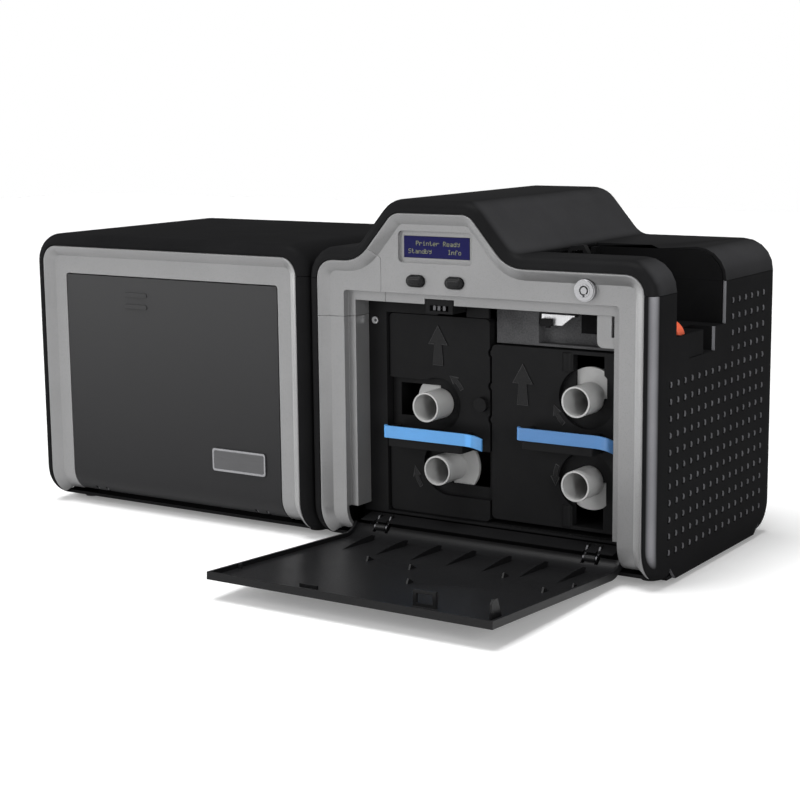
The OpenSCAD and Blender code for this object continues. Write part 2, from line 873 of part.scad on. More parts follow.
module lock_barrel() {
    y0 = face_y - lock_proud - 0.3;
    color("#b9b9bc")
        placed() {
            difference() {
                rod_y(lock_x, lock_z, barrel_r, y0, inner_y - 7.4);
                difference() {
                    rod_y(lock_x, lock_z, barrel_r - 1.2, y0 - 1, y0 + 3);
                    rod_y(lock_x, lock_z, barrel_r - 2.4, y0 - 2, y0 + 4);
                }
                slab([lock_x - 0.9, lock_x + 0.9], [y0 - 1, y0 + 3],
                    [lock_z - barrel_r - 1, lock_z - barrel_r + 2]);
            }
            facing(inner_y - 7.5, 2)
                union() {
                    translate([lock_x, lock_z])
                        circle(r = 6);
                    translate([lock_x - 3, lock_z])
                        square([6, 15]);
                }
        }
}

catch_x0 = 107.8;
catch_x1 = 135.3;

module door_catch() {
    color("#141416")
        placed()
            difference() {
                slab([catch_x0 + 1, catch_x1 - 1], [ledge_y - 0.2, inner_y + 4],
                    [mouth_z - 7, mouth_z + 4]);
                slab([catch_x0 + 5, catch_x1 - 5], [ledge_y - 1, ledge_y + 8],
                    [mouth_z - 5, mouth_z - 0.5]);
            }
}

// ---------- front door ----------

tab_x = mouth_x1 - 2.4;
tab_z0 = door_top - 22;
tab_z1 = door_top - 10;

// Outline of a door in YZ, t thick, from its top down round the curved foot
module door_section(top, t) {
    r = bend_y - face_y;
    a1 = door_foot_a;
    polygon(concat([[face_y, top]],
        [for (a = [0:a1 / 8:a1]) [bend_y - r * cos(a), bend_z - r * sin(a)]],
        [for (a = [a1:-a1 / 8:0]) [bend_y - (r - t) * cos(a), bend_z - (r - t) * sin(a)]],
        [[face_y + t, top]]));
}

module door_panel(x0, x1) {
    h0 = x0 + hinge_in;
    h1 = x1 - hinge_in - knuckle_w;
    sideways(x0, x1 - x0)
        door_section(door_top, door_t);
    for (x = [x0, x1 - door_rim_t])
        sideways(x, door_rim_t)
            door_section(door_top, door_rim);
    slab([x0, x1], [face_y, face_y + door_rim], [door_top - door_rim_t, door_top]);
    for (x = [h0, h1])
        rod_x(hinge_y, hinge_z, knuckle_r, x, x + knuckle_w);
}

// Cuts that free a door around its hinges
module hinge_cuts(x0, x1) {
    ear = 3;
    for (x = [x0 + hinge_in, x1 - hinge_in - knuckle_w]) {
        rod_x(hinge_y, hinge_z, knuckle_r + 2, x - ear, x);
        rod_x(hinge_y, hinge_z, knuckle_r + 2, x + knuckle_w, x + knuckle_w + ear);
        rod_x(hinge_y, hinge_z, pin_r + fit, x - 1, x + knuckle_w + 1);
    }
}

module front_door() {
    x0 = open_x0 + door_gap;
    x1 = open_x1 - door_gap;
    skin = face_y + door_t;
    rib_pitch = (x1 - x0) / (door_ribs + 0.6);
    color("#262628")
        placed()
            translate([0, hinge_y, hinge_z])
                rotate([door_open, 0, 0])
                    translate([0, -hinge_y, -hinge_z])
                        difference() {
                            union() {
                                door_panel(x0, x1);
                                for (k = [1:door_ribs])
                                    door_rib(x0 + rib_pitch * (k - 0.2), skin);
                                sideways(tab_x, 1.8)
                                    polygon([[skin - 0.01, tab_z0 - 3], [skin + 15, tab_z0 + 4],
                                        [skin + 15, tab_z1 - 3], [skin + 12, tab_z1],
                                        [skin - 0.01, tab_z1]]);
                                door_loop(catch_x0 + 100, skin);
                                slab([catch_x0 + 6, catch_x1 - 6], [skin - 0.01, skin + 4],
                                    [mouth_z - 4, mouth_z - 2]);
                                rod_y(x0 + 4.5, door_top - 35, 1.6, skin - 0.01, ledge_y - 0.4);
                                door_gussets(x0, skin);
                            }
                            hinge_cuts(x0, x1);
                        }
}

// Curved rib inside the door's lower end
module door_rib(x, skin) {
    sideways(x, 1.6)
        polygon([[skin - 0.2, bend_z + 45], [skin - 0.2, bend_z - 2], [skin + 3.6, bend_z - 5],
            [skin + 5, bend_z], [skin + 4.2, bend_z + 14], [skin + 2.2, bend_z + 30]]);
}

// Upright loop inside the door's upper end
module door_loop(x, skin) {
    facing_z = mouth_z - 12;
    difference() {
        slab([x, x + 19], [skin - 0.01, skin + 12], [facing_z, facing_z + 3]);
        slab([x + 2.5, x + 16.5], [skin + 2.5, skin + 9.5], [facing_z - 1, facing_z + 4]);
    }
}

module door_gussets(x0, skin) {
    w = open_x1 - open_x0 - 2 * door_gap;
    for (p = [[0.27, 87], [0.44, 91], [0.54, 133], [0.73, 72], [0.92, 96], [0.97, 72]])
        sideways(x0 + p[0] * w, 1.5)
            polygon([[skin - 0.2, p[1] + bend_z - 20], [skin - 0.2, p[1] + bend_z - 30],
                [skin + 4, p[1] + bend_z - 22]]);
}

// Sill between x0 and x1, slotted for the clips of a door between d0 and d1
module front_sill(x0, x1, d0, d1) {
    c = door_gap + hinge_in;
    difference() {
        sideways(x0, x1 - x0)
            polygon([[14.8, hinge_z + 5.4], [inner_y - 0.3, hinge_z + 8.5],
                [inner_y - 0.3, foot_h + wall], [inner_y - 2.8, foot_h + wall],
                [inner_y - 2.8, hinge_z + 6], [14.8, hinge_z + 4.8]]);
        for (x = [d0 + c, d1 - c - knuckle_w])
            for (e = [x - clip_gap - clip_t, x + knuckle_w + clip_gap])
                slab([e, e + clip_t], [10, hinge_y + 10], [hinge_z, hinge_z + 12]);
    }
}

clip_t = 1.4;
clip_gap = 0.4;

module sill() {
    color("#232325")
        placed()
            front_sill(mouth_x0 + 0.6, mouth_x1 - 0.6, open_x0, open_x1);
}

// One metal clip that carries a hinge pin through a knuckle at x
module hinge_clip(x) {
    for (e = [x - clip_gap - clip_t, x + knuckle_w + clip_gap])
        sideways(e, clip_t)
            union() {
                translate([hinge_y, hinge_z])
                    circle(r = 2.8);
                polygon([[hinge_y - 1.5, hinge_z], [hinge_y + 2.8, hinge_z],
                    [hinge_y + 9, hinge_z + 5.0], [hinge_y + 9, hinge_z + 9.2],
                    [hinge_y + 5, hinge_z + 8.6]]);
            }
    rod_x(hinge_y, hinge_z, pin_r, x - clip_gap - clip_t, x + knuckle_w + clip_gap + clip_t);
}

module hinge_clips() {
    color("#a9a9ab")
        placed() {
            for (x = [open_x0 + door_gap + hinge_in, open_x1 - door_gap - hinge_in - knuckle_w])
                hinge_clip(x);
            for (x = [module_open_x0 + door_gap + hinge_in,
                    module_open_x1 - door_gap - hinge_in - knuckle_w])
                hinge_clip(x);
        }
}

// ---------- inner frame ----------

frame_t = 3;
floor_z = ribbon_z - cart_gap - 2;
head_z = ribbon_z + ribbon_h + cart_gap;

module front_frame() {
    x0 = mouth_x0;
    x1 = mouth_x1;
    color("#161618")
        placed() {
            difference() {
                slab([x0 - 6, x1 + 6], [inner_y, inner_y + frame_t], [floor_z, open_z + 4]);
                slab([ribbon_x - cart_gap, film_x + film_w + cart_gap],
                    [inner_y - 1, inner_y + 9], [ribbon_z - cart_gap, head_z]);
                slab([film_x - 1, film_x + film_w + cart_gap], [inner_y - 1, inner_y + 9],
                    [head_z - 1, mouth_z + 1]);
                slab([catch_x0, catch_x1], [inner_y - 1, inner_y + 9], [head_z - 1, mouth_z + 5]);
            }
            slab([x0 - 6, ribbon_x - cart_gap], [inner_y + frame_t, mid_y], [floor_z, head_z]);
            slab([film_x + film_w + cart_gap, x1 + 6], [inner_y + frame_t, mid_y],
                [floor_z, bay_z - 24]);
            slab([x0 - 6, x1 + 6], [inner_y + 6, mid_y], [floor_z, ribbon_z - cart_gap]);
        }
}

module bay_panel() {
    x0 = film_x + 2;
    x1 = x0 + 38;
    z0 = film_z + film_h + cart_gap;
    y0 = cart_y + 5;
    color("#343436")
        placed()
            difference() {
                union() {
                    slab([x0, x1], [y0, y0 + 6], [z0, mouth_z + 14]);
                    slab([x1 - 0.01, mouth_x1 - 12], [y0 + 10, y0 + 12], [z0, bay_z - liner_t - 0.5]);
                    slab([x1 - 0.01, bay_x0 + 33], [y0 + 10, y0 + 12], [z0, mouth_z + 14]);
                    slab([x1 - 2, x1], [y0, y0 + 12], [z0, mouth_z + 14]);
                    slab([x0, mouth_x1 - 12], [y0, y0 + 12], [z0, z0 + 2]);
                    rod_y(platen_x, platen_z, shaft_r + 3, y0, y0 + 9);
                }
                rod_y(platen_x, platen_z, shaft_r + fit, y0 + 2, y0 + 20);
            }
}

module sensor_bracket() {
    x0 = film_x + 42;
    color("#d0d0d0")
        placed() {
            facing(cart_y + 6, 1.2)
                polygon([[x0, bay_z + 2], [x0, bay_z + 10.5], [x0 + 29, bay_z + 10.5],
                    [x0 + 18, bay_z + 2]]);
            slab([x0, x0 + 29], [cart_y + 6, cart_y + 14.7], [bay_z + 9.3, bay_z + 10.5]);
        }
}

module sensor_clip() {
    x0 = film_x + 43;
    color("#111112")
        placed() {
            slab([x0, x0 + 9], [cart_y + 1.5, cart_y + 6], [bay_z + 1.6, bay_z + 7]);
            slab([x0 + 4, x0 + 7], [cart_y + 3, cart_y + 6], [bay_z, bay_z + 1.7]);
        }
}

module frame_screws() {
    color("#bdbdbd")
        placed() {
            rod_y(mouth_x0 + 7, 189.5, 3, inner_y - 1.6, inner_y);
            for (x = [22, body_w - 22])
                for (z = [60, 200])
                    rod_y(x, z, 3, body_d, body_d + screw_h);
            for (x = [module_x0 + 22, module_x1 - 22])
                for (z = [60, 200])
                    rod_y(x, z, 3, body_d, body_d + screw_h);
        }
}

// ---------- hopper ----------

module hopper_liner() {
    x1 = body_w - wall - seam;
    y0 = bay_y0 + seam;
    y1 = bay_y1 - seam;
    shelf_x = bay_x0 + 34;
    shelf_z = seam_z + 4;
    color("#1a1a1b")
        placed()
            difference() {
                union() {
                    slab([shelf_x, x1], [y0, y1], [bay_z - liner_t, bay_z]);
                    slab([shelf_x, x1], [y0, y0 + liner_t], [bay_z - 0.01, seam_z]);
                    slab([shelf_x, x1], [y1 - liner_t, y1], [bay_z - 0.01, seam_z]);
                    slab([shelf_x, shelf_x + liner_t], [y0, y1], [bay_z - 0.01, shelf_z]);
                    slab([bay_x0 + seam, shelf_x + liner_t], [y0, y1], [shelf_z - liner_t, shelf_z]);
                    slab([shelf_x - 5, shelf_x - 1], [60, 68], [shelf_z - 0.01, shoulder_z + 3]);
                    for (y = [lever_y - 5.4, lever_y + 3.4])
                        slab([bay_x0 + 2, bay_x0 + 26], [y, y + 2], [shelf_z - 0.01, shelf_z + 6]);
                    for (y = [feed_y - 3, feed_y + feed_w + 1])
                        slab([feed_x - 5, feed_x + 5], [y, y + 2], [feed_z - 5, bay_z]);
                }
                slab([body_w - 22, body_w], [notch_y0 - 2, notch_y1 + 2],
                    [bay_z - notch_h, bay_z + 1]);
                slab([feed_x - feed_r - 1, x1 + 1], [feed_y - 0.8, feed_y + feed_w + 0.8],
                    [feed_z - feed_r, bay_z + 0.5]);
                rod_y(feed_x, feed_z, 2 + fit, feed_y - 4, feed_y + feed_w + 4);
                rod_y(bay_x0 + 6, shelf_z + 3, 1.5 + fit, lever_y - 7, lever_y + 7);
            }
}

// Cup below the bay's floor, open to the side, for a finger
module finger_cup() {
    x1 = body_w - wall - seam;
    color("#1a1a1b")
        placed()
            difference() {
                slab([body_w - 22, x1], [notch_y0 - 2, notch_y1 + 2], [bay_z - notch_h - 2, bay_z]);
                slab([body_w - 20, body_w], [notch_y0, notch_y1], [bay_z - notch_h, bay_z + 1]);
            }
}

lever_y = 64;
feed_y = 49;

module hopper_lever() {
    z0 = seam_z + 7;
    x0 = bay_x0 + 6;
    color("#1b1b1c")
        placed() {
            rod_y(x0, z0, 1.5, lever_y - 5.4, lever_y + 5.4);
            difference() {
                facing(lever_y - 3, 6)
                    polygon([[x0 - 1.5, z0 - 2.4], [x0 - 2.6, z0 + 4], [x0 + 3, z0 + 19],
                        [x0 + 5, z0 + 22], [x0 + 16, z0 + 23], [x0 + 21, z0 + 15],
                        [x0 + 21, z0 + 9], [x0 + 1.5, z0 - 2.4]]);
                facing(lever_y - 4, 8)
                    polygon([[x0 + 2, z0 + 4], [x0 + 6, z0 + 18], [x0 + 15, z0 + 19],
                        [x0 + 18, z0 + 13], [x0 + 18, z0 + 10.5], [x0 + 6, z0 + 3]]);
            }
        }
}

module feed_roller() {
    color("#e0552f")
        placed()
            union() {
                rod_y(feed_x, feed_z, feed_r, feed_y, feed_y + feed_w);
                rod_y(feed_x, feed_z, 2, feed_y - 3, feed_y + feed_w + 3);
            }
}

// ---------- cartridges ----------

// Box of a cartridge: front block with pockets, hollow behind
module cartridge_box(x, z, w, h) {
    back = cart_y1 - cart_t;
    difference() {
        facing(cart_y, cart_d)
            flat(box_ring([x, x + w], [z, z + h], 4));
        slab([x + cart_t, x + w - cart_t], [cart_y + pocket_d + cart_t, back],
            [z + cart_t, z + h - cart_t]);
    }
}

// Through holes for a core, round pocket in front
module core_holes(x, z, r) {
    rod_y(x, z, r, cart_y - 1, cart_y + pocket_d);
    rod_y(x, z, core_r + 0.3, cart_y, cart_y1 + 1);
}

// Window through the front wall, beside a core
module window(x, z) {
    slab(x, [cart_y - 1, cart_y + pocket_d + cart_t + 1], z);
}

module arrow(x, z, h) {
    facing(cart_y - 0.8, 0.9)
        polygon([[x, z + h], [x - 9.3, z + 0.52 * h], [x - 3.6, z + 0.52 * h], [x - 5, z],
            [x + 5, z], [x + 3.6, z + 0.52 * h], [x + 9.3, z + 0.52 * h]]);
}

module ribbon_cartridge() {
    cx1 = ribbon_x + ribbon_core_x1;
    cz1 = ribbon_z + ribbon_core_z1;
    cx2 = ribbon_x + ribbon_core_x2;
    cz2 = ribbon_z + ribbon_core_z2;
    color("#1b1b1c")
        placed() {
            difference() {
                cartridge_box(ribbon_x, ribbon_z, ribbon_w, ribbon_h);
                core_holes(cx1, cz1, pocket_r - 2.4);
                slab([ribbon_x - 1, cx1], [cart_y - 1, cart_y + pocket_d],
                    [cz1 - pocket_r + 2.6, cz1 + pocket_r - 5]);
                window([ribbon_x + 8, cx1], [cz1 - 12.8, cz1 + 14.7]);
                core_holes(cx2, cz2, pocket_r);
                slab([cx2, ribbon_x + ribbon_w + 1], [cart_y - 1, cart_y + pocket_d],
                    [cz2 - pocket_r, cz2 + pocket_r - 8]);
                window([cx2, ribbon_x + ribbon_w - cart_t], [cz2 - 14.7, cz2 + 14.7]);
                for (z = latch_z)
                    rod_y(ribbon_x + ribbon_w + 3, z, 4.6, cart_y - 1, cart_y + 8);
            }
            arrow(ribbon_x + 47.6, ribbon_z + 125.8, 33);
            rod_y(ribbon_x + ribbon_w - 6.8, ribbon_z + 97, 6, cart_y - 5, cart_y + 0.1);
            grip_bar(ribbon_grip_x0, ribbon_grip_x1, ribbon_z + ribbon_grip_z);
        }
}

module film_cartridge() {
    cx = film_x + film_core_x;
    cz1 = film_z + film_core_z1;
    cz2 = film_z + film_core_z2;
    ch0 = cx - channel_w / 2 + 1.5;
    color("#1b1b1c")
        placed() {
            difference() {
                union() {
                    cartridge_box(film_x, film_z, film_w, film_h);
                    for (z = latch_z)
                        intersection() {
                            rod_y(film_x + 2, z, 3.4, cart_y, cart_y + 7);
                            slab([film_x - 1.4, film_x + 2], [cart_y, cart_y + 7], [z - 5, z + 5]);
                        }
                }
                core_holes(cx, cz1, pocket_r);
                core_holes(cx, cz2, pocket_r);
                window([ch0, ch0 + channel_w], [cz1, film_z + film_h - cart_t - 0.6]);
                window([ch0, ch0 + channel_w], [film_z + cart_t + 0.6, cz2]);
            }
            for (z = [[film_z + 2, cz2 - pocket_r + 4], [cz1 + pocket_r - 4, film_z + film_h - 2]])
                rod_z(ch0 - post_w / 2 - 0.4, cart_y + 3, post_w / 2, z[0], z[1]);
            arrow(film_x + 28.6, film_z + film_h - 47, 33.5);
            grip_bar(film_grip_x0, film_grip_x1, film_z + film_grip_z);
        }
}

ribbon_grip_x0 = ribbon_x + 4;
ribbon_grip_x1 = ribbon_x + ribbon_w - 13;
film_grip_x0 = film_x + 0.28 * film_w;
film_grip_x1 = film_x + film_w - 12;

// Coloured band of a handle: rounded at its left end, swept back and down at its right tip
module grip_band(x0, x1, z) {
    r = 4.5;
    translate([0, 0, z])
        linear_extrude(grip_h)
            difference() {
                union() {
                    translate([x0 + r, grip_y + r])
                        circle(r = r, $fn = 96);
                    translate([x0 + r, grip_y])
                        square([x1 - x0 - r, grip_t]);
                }
                translate([x0 + r, grip_y + r])
                    circle(r = r - grip_t, $fn = 96);
                translate([x0 - 1, grip_y + r + 1])
                    square([3 * r, 3 * r]);
                translate([x0 + r, grip_y + grip_t])
                    square([2 * r, 3 * r]);
            }
    for (k = [0:3])
        hull()
            for (t = [k / 4, (k + 1) / 4])
                translate([x1 - 0.01 + 14 * sin(60 * t), grip_y + 14 * (1 - cos(60 * t)),
                    z - tip_drop * t * t])
                    cube([0.02, grip_t, grip_h]);
}

// Dark loop that carries the band, open towards the cartridge for the fingers
module grip_bar(x0, x1, z) {
    for (p = [[z - 7, 7, grip_y + 1.2], [z - 0.01, grip_h - 1.5, grip_y + grip_t]])
        translate([0, 0, p[0]])
            linear_extrude(p[1])
                difference() {
                    flat([[x0 + 4, cart_y + 0.1, 0], [x1 - 3, cart_y + 0.1, 0],
                        [x1 - 3, p[2], 3], [x0 + 4, p[2], 3]]);
                    translate([x0 + 7.5, p[2] + 3.4])
                        square([x1 - x0 - 14, cart_y - p[2] - 3.4 + 0.11]);
                }
}

module ribbon_handle() {
    color("#5b9bd8")
        placed()
            grip_band(ribbon_grip_x0, ribbon_grip_x1, ribbon_z + ribbon_grip_z);
}

module film_handle() {
    color("#4a80c0")
        placed()
            grip_band(film_grip_x0, film_grip_x1, film_z + film_grip_z);
}

// Core tube with a flange behind the pocket
module core(x, z) {
    difference() {
        union() {
            rod_y(x, z, core_r, core_y, cart_y1 - 0.5);
            rod_y(x, z, flange_r, flange_y, flange_y + flange_t);
        }
        rod_y(x, z, core_bore, core_y - 1, cart_y1 + 1);
    }
}

// Wound web on a core, inside the cartridge
module roll(x, z, r) {
    y0 = flange_y + flange_t + 1;
    difference() {
        rod_y(x, z, r, y0, cart_y1 - cart_t - 3);
        rod_y(x, z, core_r, y0 - 1, cart_y1);
    }
}

module ribbon_supply_core() {
    color("#c9c9c9")
        placed()
            core(ribbon_x + ribbon_core_x1, ribbon_z + ribbon_core_z1);
}

module ribbon_takeup_core() {
    color("#c9c9c9")
        placed()
            core(ribbon_x + ribbon_core_x2, ribbon_z + ribbon_core_z2);
}

module ribbon_supply_roll() {
    color("#4a4038")
        placed()
            roll(ribbon_x + ribbon_core_x1, ribbon_z + ribbon_core_z1, full_roll_r);
}

module ribbon_takeup_roll() {
    color("#4a4038")
        placed()
            roll(ribbon_x + ribbon_core_x2, ribbon_z + ribbon_core_z2, used_roll_r);
}

module film_supply_core() {
    color("#c9c9c9")
        placed()
            core(film_x + film_core_x, film_z + film_core_z1);
}

module film_takeup_core() {
    color("#c9c9c9")
        placed()
            core(film_x + film_core_x, film_z + film_core_z2);
}

module film_supply_roll() {
    color("#b8bcc0")
        placed()
            roll(film_x + film_core_x, film_z + film_core_z1, full_roll_r);
}

module film_takeup_roll() {
    color("#b8bcc0")
        placed()
            roll(film_x + film_core_x, film_z + film_core_z2, used_roll_r);
}

// ---------- works behind the cartridges ----------

module mid_plate() {
    cores = [[ribbon_x + ribbon_core_x1, ribbon_z + ribbon_core_z1],
        [ribbon_x + ribbon_core_x2, ribbon_z + ribbon_core_z2],
        [film_x + film_core_x, film_z + film_core_z1],
        [film_x + film_core_x, film_z + film_core_z2]];
    color("#b4b6b8")
        placed()
            difference() {
                union() {
                    slab([14, body_w - 14], [mid_y, mid_y + mid_t], [floor_z, shoulder_z - 10]);
                    for (c = cores)
                        rod_y(c[0], c[1], core_bore - 0.4, cart_y1 - 12, mid_y + 0.01);
                    rod_y(head_pivot_x, head_pivot_z, shaft_r, mid_y - 110, mid_y + 0.01);
                    for (x = [24, 112])
                        slab([x, x + 16], [mid_y, mid_y + 40], [supply_z - mid_t, supply_z]);
                }
                rod_y(platen_x, platen_z, shaft_r + fit, mid_y - 1, mid_y + mid_t + 1);
                rod_y(pinion_x, platen_z, shaft_r + 1, mid_y - 1, mid_y + mid_t + 1);
                slab([pinion_x - 9, pinion_x + 9], [mid_y - 1, mid_y + mid_t + 1],
                    [platen_z - 0.01, platen_z]);
            }
}

head_pivot_x = platen_x - 42;
head_pivot_z = platen_z + 27;

module print_head() {
    y0 = mid_y - 108;
    y1 = mid_y - 12;
    color("#8d8f92")
        placed()
            difference() {
                union() {
                    rod_y(head_pivot_x, head_pivot_z, shaft_r + 3, y0, y1);
                    slab([head_pivot_x, platen_x + 10], [y0, y1],
                        [head_pivot_z - 1.5, head_pivot_z + 1.5]);
                    slab([platen_x - 5, platen_x + 10], [y0, y1],
                        [head_pivot_z - 12, head_pivot_z + 1.4]);
                    slab([platen_x - 1.5, platen_x + 1.5], [y0 + 4, y1 - 4],
                        [platen_z + platen_r + 1, head_pivot_z - 11.9]);
                }
                rod_y(head_pivot_x, head_pivot_z, shaft_r + fit, y0 - 1, y1 + 1);
            }
}

module platen_roller() {
    color("#303234")
        placed() {
            rod_y(platen_x, platen_z, platen_r, mid_y - 108, mid_y - 12);
            rod_y(platen_x, platen_z, shaft_r, cart_y + 8, gear_y + gear_w + 1);
        }
}

module drive_motor() {
    color("#9b9da0")
        placed()
            difference() {
                union() {
                    rod_y(pinion_x, platen_z, motor_r, mid_y - 34, mid_y - 0.01);
                    rod_y(pinion_x, platen_z, shaft_r + 0.9, mid_y - 0.02, mid_y + mid_t);
                }
                rod_y(pinion_x, platen_z, 1.5 + fit, mid_y - 20, mid_y + mid_t + 1);
            }
}

function inv(a) = tan(a) * 180 / PI - a;

// Half the angle of a tooth at radius r
function tooth_half(r, n) =
    let(rp = gear_m * n / 2, rb = rp * cos(20))
    90 / n + inv(20) - inv(acos(min(1, rb / r))) - 0.5 * 180 * 0.12 / (PI * rp);

function tooth(n, a) =
    let(rp = gear_m * n / 2, rb = rp * cos(20), rr = rp - 1.25 * gear_m, ra = rp + 0.95 * gear_m)
    let(rf = max(rb, rr + 0.1))
    let(steps = [for (k = [0:4]) rf + (ra - rf) * k / 4])
    concat([[rr, a - tooth_half(rf, n) - 1]],
        [for (r = steps) [r, a - tooth_half(r, n)]],
        [for (k = [4:-1:0]) [steps[k], a + tooth_half(steps[k], n)]],
        [[rr, a + tooth_half(rf, n) + 1]]);

module gear(n, start) {
    polygon([for (k = [0:n - 1], p = tooth(n, start + 360 * k / n))
        [p[0] * cos(p[1]), p[0] * sin(p[1])]]);
}

module motor_pinion() {
    color("#d8c27a")
        placed() {
            facing(gear_y, gear_w)
                translate([pinion_x, platen_z])
                    gear(pinion_teeth, 180 / pinion_teeth);
            rod_y(pinion_x, platen_z, 1.5, mid_y - 16, gear_y + 0.01);
        }
}

module drive_gear() {
    color("#e8e6df")
        placed()
            difference() {
                facing(gear_y, gear_w)
                    translate([platen_x, platen_z])
                        gear(gear_teeth, 180 + (gear_teeth % 2) * 180 / gear_teeth);
                rod_y(platen_x, platen_z, shaft_r, gear_y - 1, gear_y + gear_w + 1);
            }
}

fan_x = 250;
fan_z = 90;
fan_t = 15;

module fan_frame() {
    y1 = body_d - wall;
    h = fan_w / 2;
    color("#1a1a1b")
        placed()
            difference() {
                slab([fan_x - h, fan_x + h], [y1 - fan_t, y1], [fan_z - h, fan_z + h]);
                difference() {
                    rod_y(fan_x, fan_z, h - 2, y1 - fan_t - 1, y1 + 1);
                    rod_y(fan_x, fan_z, 10, y1 - 3, y1 + 2);
                    for (a = [0:120:240])
                        translate([fan_x, 0, fan_z])
                            rotate([0, a, 0])
                                slab([0, h], [y1 - 3, y1], [-2, 2]);
                }
                rod_y(fan_x, fan_z, 1.2 + fit, y1 - 4, y1 + 1);
            }
}

module fan_rotor() {
    y1 = body_d - wall;
    blades = 7;
    color("#202022")
        placed() {
            rod_y(fan_x, fan_z, 11, y1 - fan_t + 1, y1 - 4);
            rod_y(fan_x, fan_z, 1.2, y1 - 4.01, y1 - 1);
            for (k = [0:blades - 1])
                translate([fan_x, y1 - fan_t / 2 - 1.5, fan_z])
                    rotate([0, 360 * k / blades, 0])
                        translate([10, 0, 0])
                            rotate([35, 0, 0])
                                translate([0, -6.5, -0.8])
                                    cube([fan_w / 2 - 13, 13, 1.6]);
        }
}

inlet_x = 40;
inlet_z = 34;
inlet_w = 28;
inlet_h = 20;
switch_w = 14;
port_x = 150;
port_z = 60;
port_w = 44;
port_h = 18;
supply_z = inlet_z + inlet_h + 6;

module power_supply() {
    y1 = body_d - wall;
    color("#a8aaad")
        placed()
            slab([22, 130], [mid_y + mid_t + 6, y1 - 0.3], [supply_z, supply_z + 50]);
}

module power_inlet() {
    y1 = body_d - wall;
    color("#101011")
        placed()
            difference() {
                slab([inlet_x + 0.3, inlet_x + inlet_w - 0.3], [y1 - 23, body_d],
                    [inlet_z + 0.3, inlet_z + inlet_h - 0.3]);
                slab([inlet_x + 2.5, inlet_x + inlet_w - 2.5], [y1 - 14, body_d + 1],
                    [inlet_z + 2.5, inlet_z + inlet_h - 2.5]);
            }
}

module power_switch() {
    y1 = body_d - wall;
    x0 = inlet_x + inlet_w + 6;
    color("#0e0e0f")
        placed()
            intersection() {
                rod_x(y1 - 8, inlet_z + inlet_h / 2, inlet_h / 2 - 1.4, x0 + 0.5, x0 + switch_w - 0.5);
                slab([x0, x0 + switch_w], [y1 - 16, body_d + 5], [0, 200]);
            }
}

module circuit_board() {
    y1 = body_d - wall;
    color("#1f5a34")
        placed() {
            slab([136, 212], [mid_y + 32, mid_y + 33.6], [port_z - 4, 190]);
            for (x = [142, 206])
                for (z = [100, 184])
                    rod_y(x, z, 2.5, mid_y + mid_t, mid_y + 32.01);
            slab([port_x + 1, port_x + 17], [mid_y + 33.5, y1 + 1], [port_z + 1, port_z + 15]);
            slab([port_x + 24, port_x + 42], [mid_y + 33.5, y1 + 1], [port_z + 1, port_z + 13]);
            slab([160, 188], [mid_y + 33.5, mid_y + 37], [130, 158]);
        }
}

// ---------- laminating module ----------

module module_base() {
    color("#242426")
        placed() {
            pan(module_x0 + wall + seam, module_x1 - wall - seam, door_foot_a + 8);
            slab([module_x0 + 14, module_x1 - 14], [mid_y, mid_y + mid_t],
                [foot_h + wall - 0.01, shoulder_z - 10]);
            for (c = module_cores)
                rod_y(c[0], c[1], shaft_r, 60, mid_y + 0.01);
            front_sill(module_open_x0 + ledge_w, module_open_x1 - ledge_w, module_open_x0,
                module_open_x1);
        }
}

lam_x = 0.388 * module_x0;
lam_z = 0.754 * shoulder_z;
module_cores = [[lam_x, lam_z], [lam_x, lam_z - 2 * lam_r - 0.6]];

module module_top_cover() {
    color("#232325")
        placed()
            swept_square(false);
}

module module_left_cover() {
    color("#232325")
        placed()
            flipped(module_x0 / 2)
                side_cover(0);
}

module module_right_cover() {
    color("#232325")
        placed()
            difference() {
                side_cover(module_x1);
                slab([module_x1 - wall - 1, module_x1 + 1], [bay_y0 + 20, bay_y1 - 20],
                    [platen_z - 6, platen_z + 6]);
            }
}

module module_rear_cover() {
    inset = rear_r + seam;
    color("#232325")
        placed()
            facing(body_d - wall, wall)
                difference() {
                    polygon(concat(path(module_outline, inset),
                        [[module_x1 - inset, foot_h + heel_r + 1],
                            [module_x0 + inset, foot_h + heel_r + 1]]));
                    for (k = [0:10])
                        translate([module_x0 + 90, 110 + 9 * k])
                            square([120, 3]);
                }
}

module module_bezel() {
    color("#8e8e90")
        placed() {
            bezel_upright(module_x1);
            flipped((module_x0 + module_x1) / 2)
                bezel_upright(module_x1);
            bezel_top(module_outline, module_x0, module_x1);
        }
}

module module_door() {
    x0 = module_open_x0 + door_gap;
    x1 = module_open_x1 - door_gap;
    color("#39393b")
        placed()
            difference() {
                union() {
                    door_panel(x0, x1);
                    for (z = [door_top - 15.5, door_top - 26])
                        facing(face_y - 0.8, 1)
                            stadium(x0 + 82, z, 26, 4);
                }
                hinge_cuts(x0, x1);
            }
}

module name_plate() {
    x1 = module_open_x1 - door_gap - plate_in;
    color("#8a8c8f")
        placed()
            difference() {
                facing(face_y - 1.4, 1.4)
                    flat(box_ring([x1 - plate_w, x1], [plate_z, plate_z + plate_h], 2.5));
                facing(face_y - 2, 1)
                    flat(box_ring([x1 - plate_w + 1.6, x1 - 1.6],
                        [plate_z + 1.6, plate_z + plate_h - 1.6], 1.6));
            }
}

module module_roller(c) {
    color("#7a7c80")
        placed()
            difference() {
                rod_y(c[0], c[1], lam_r, 62, mid_y - 12);
                rod_y(c[0], c[1], shaft_r + fit, 61, mid_y);
            }
}

module heated_roller() {
    module_roller(module_cores[0]);
}

module pressure_roller() {
    module_roller(module_cores[1]);
}

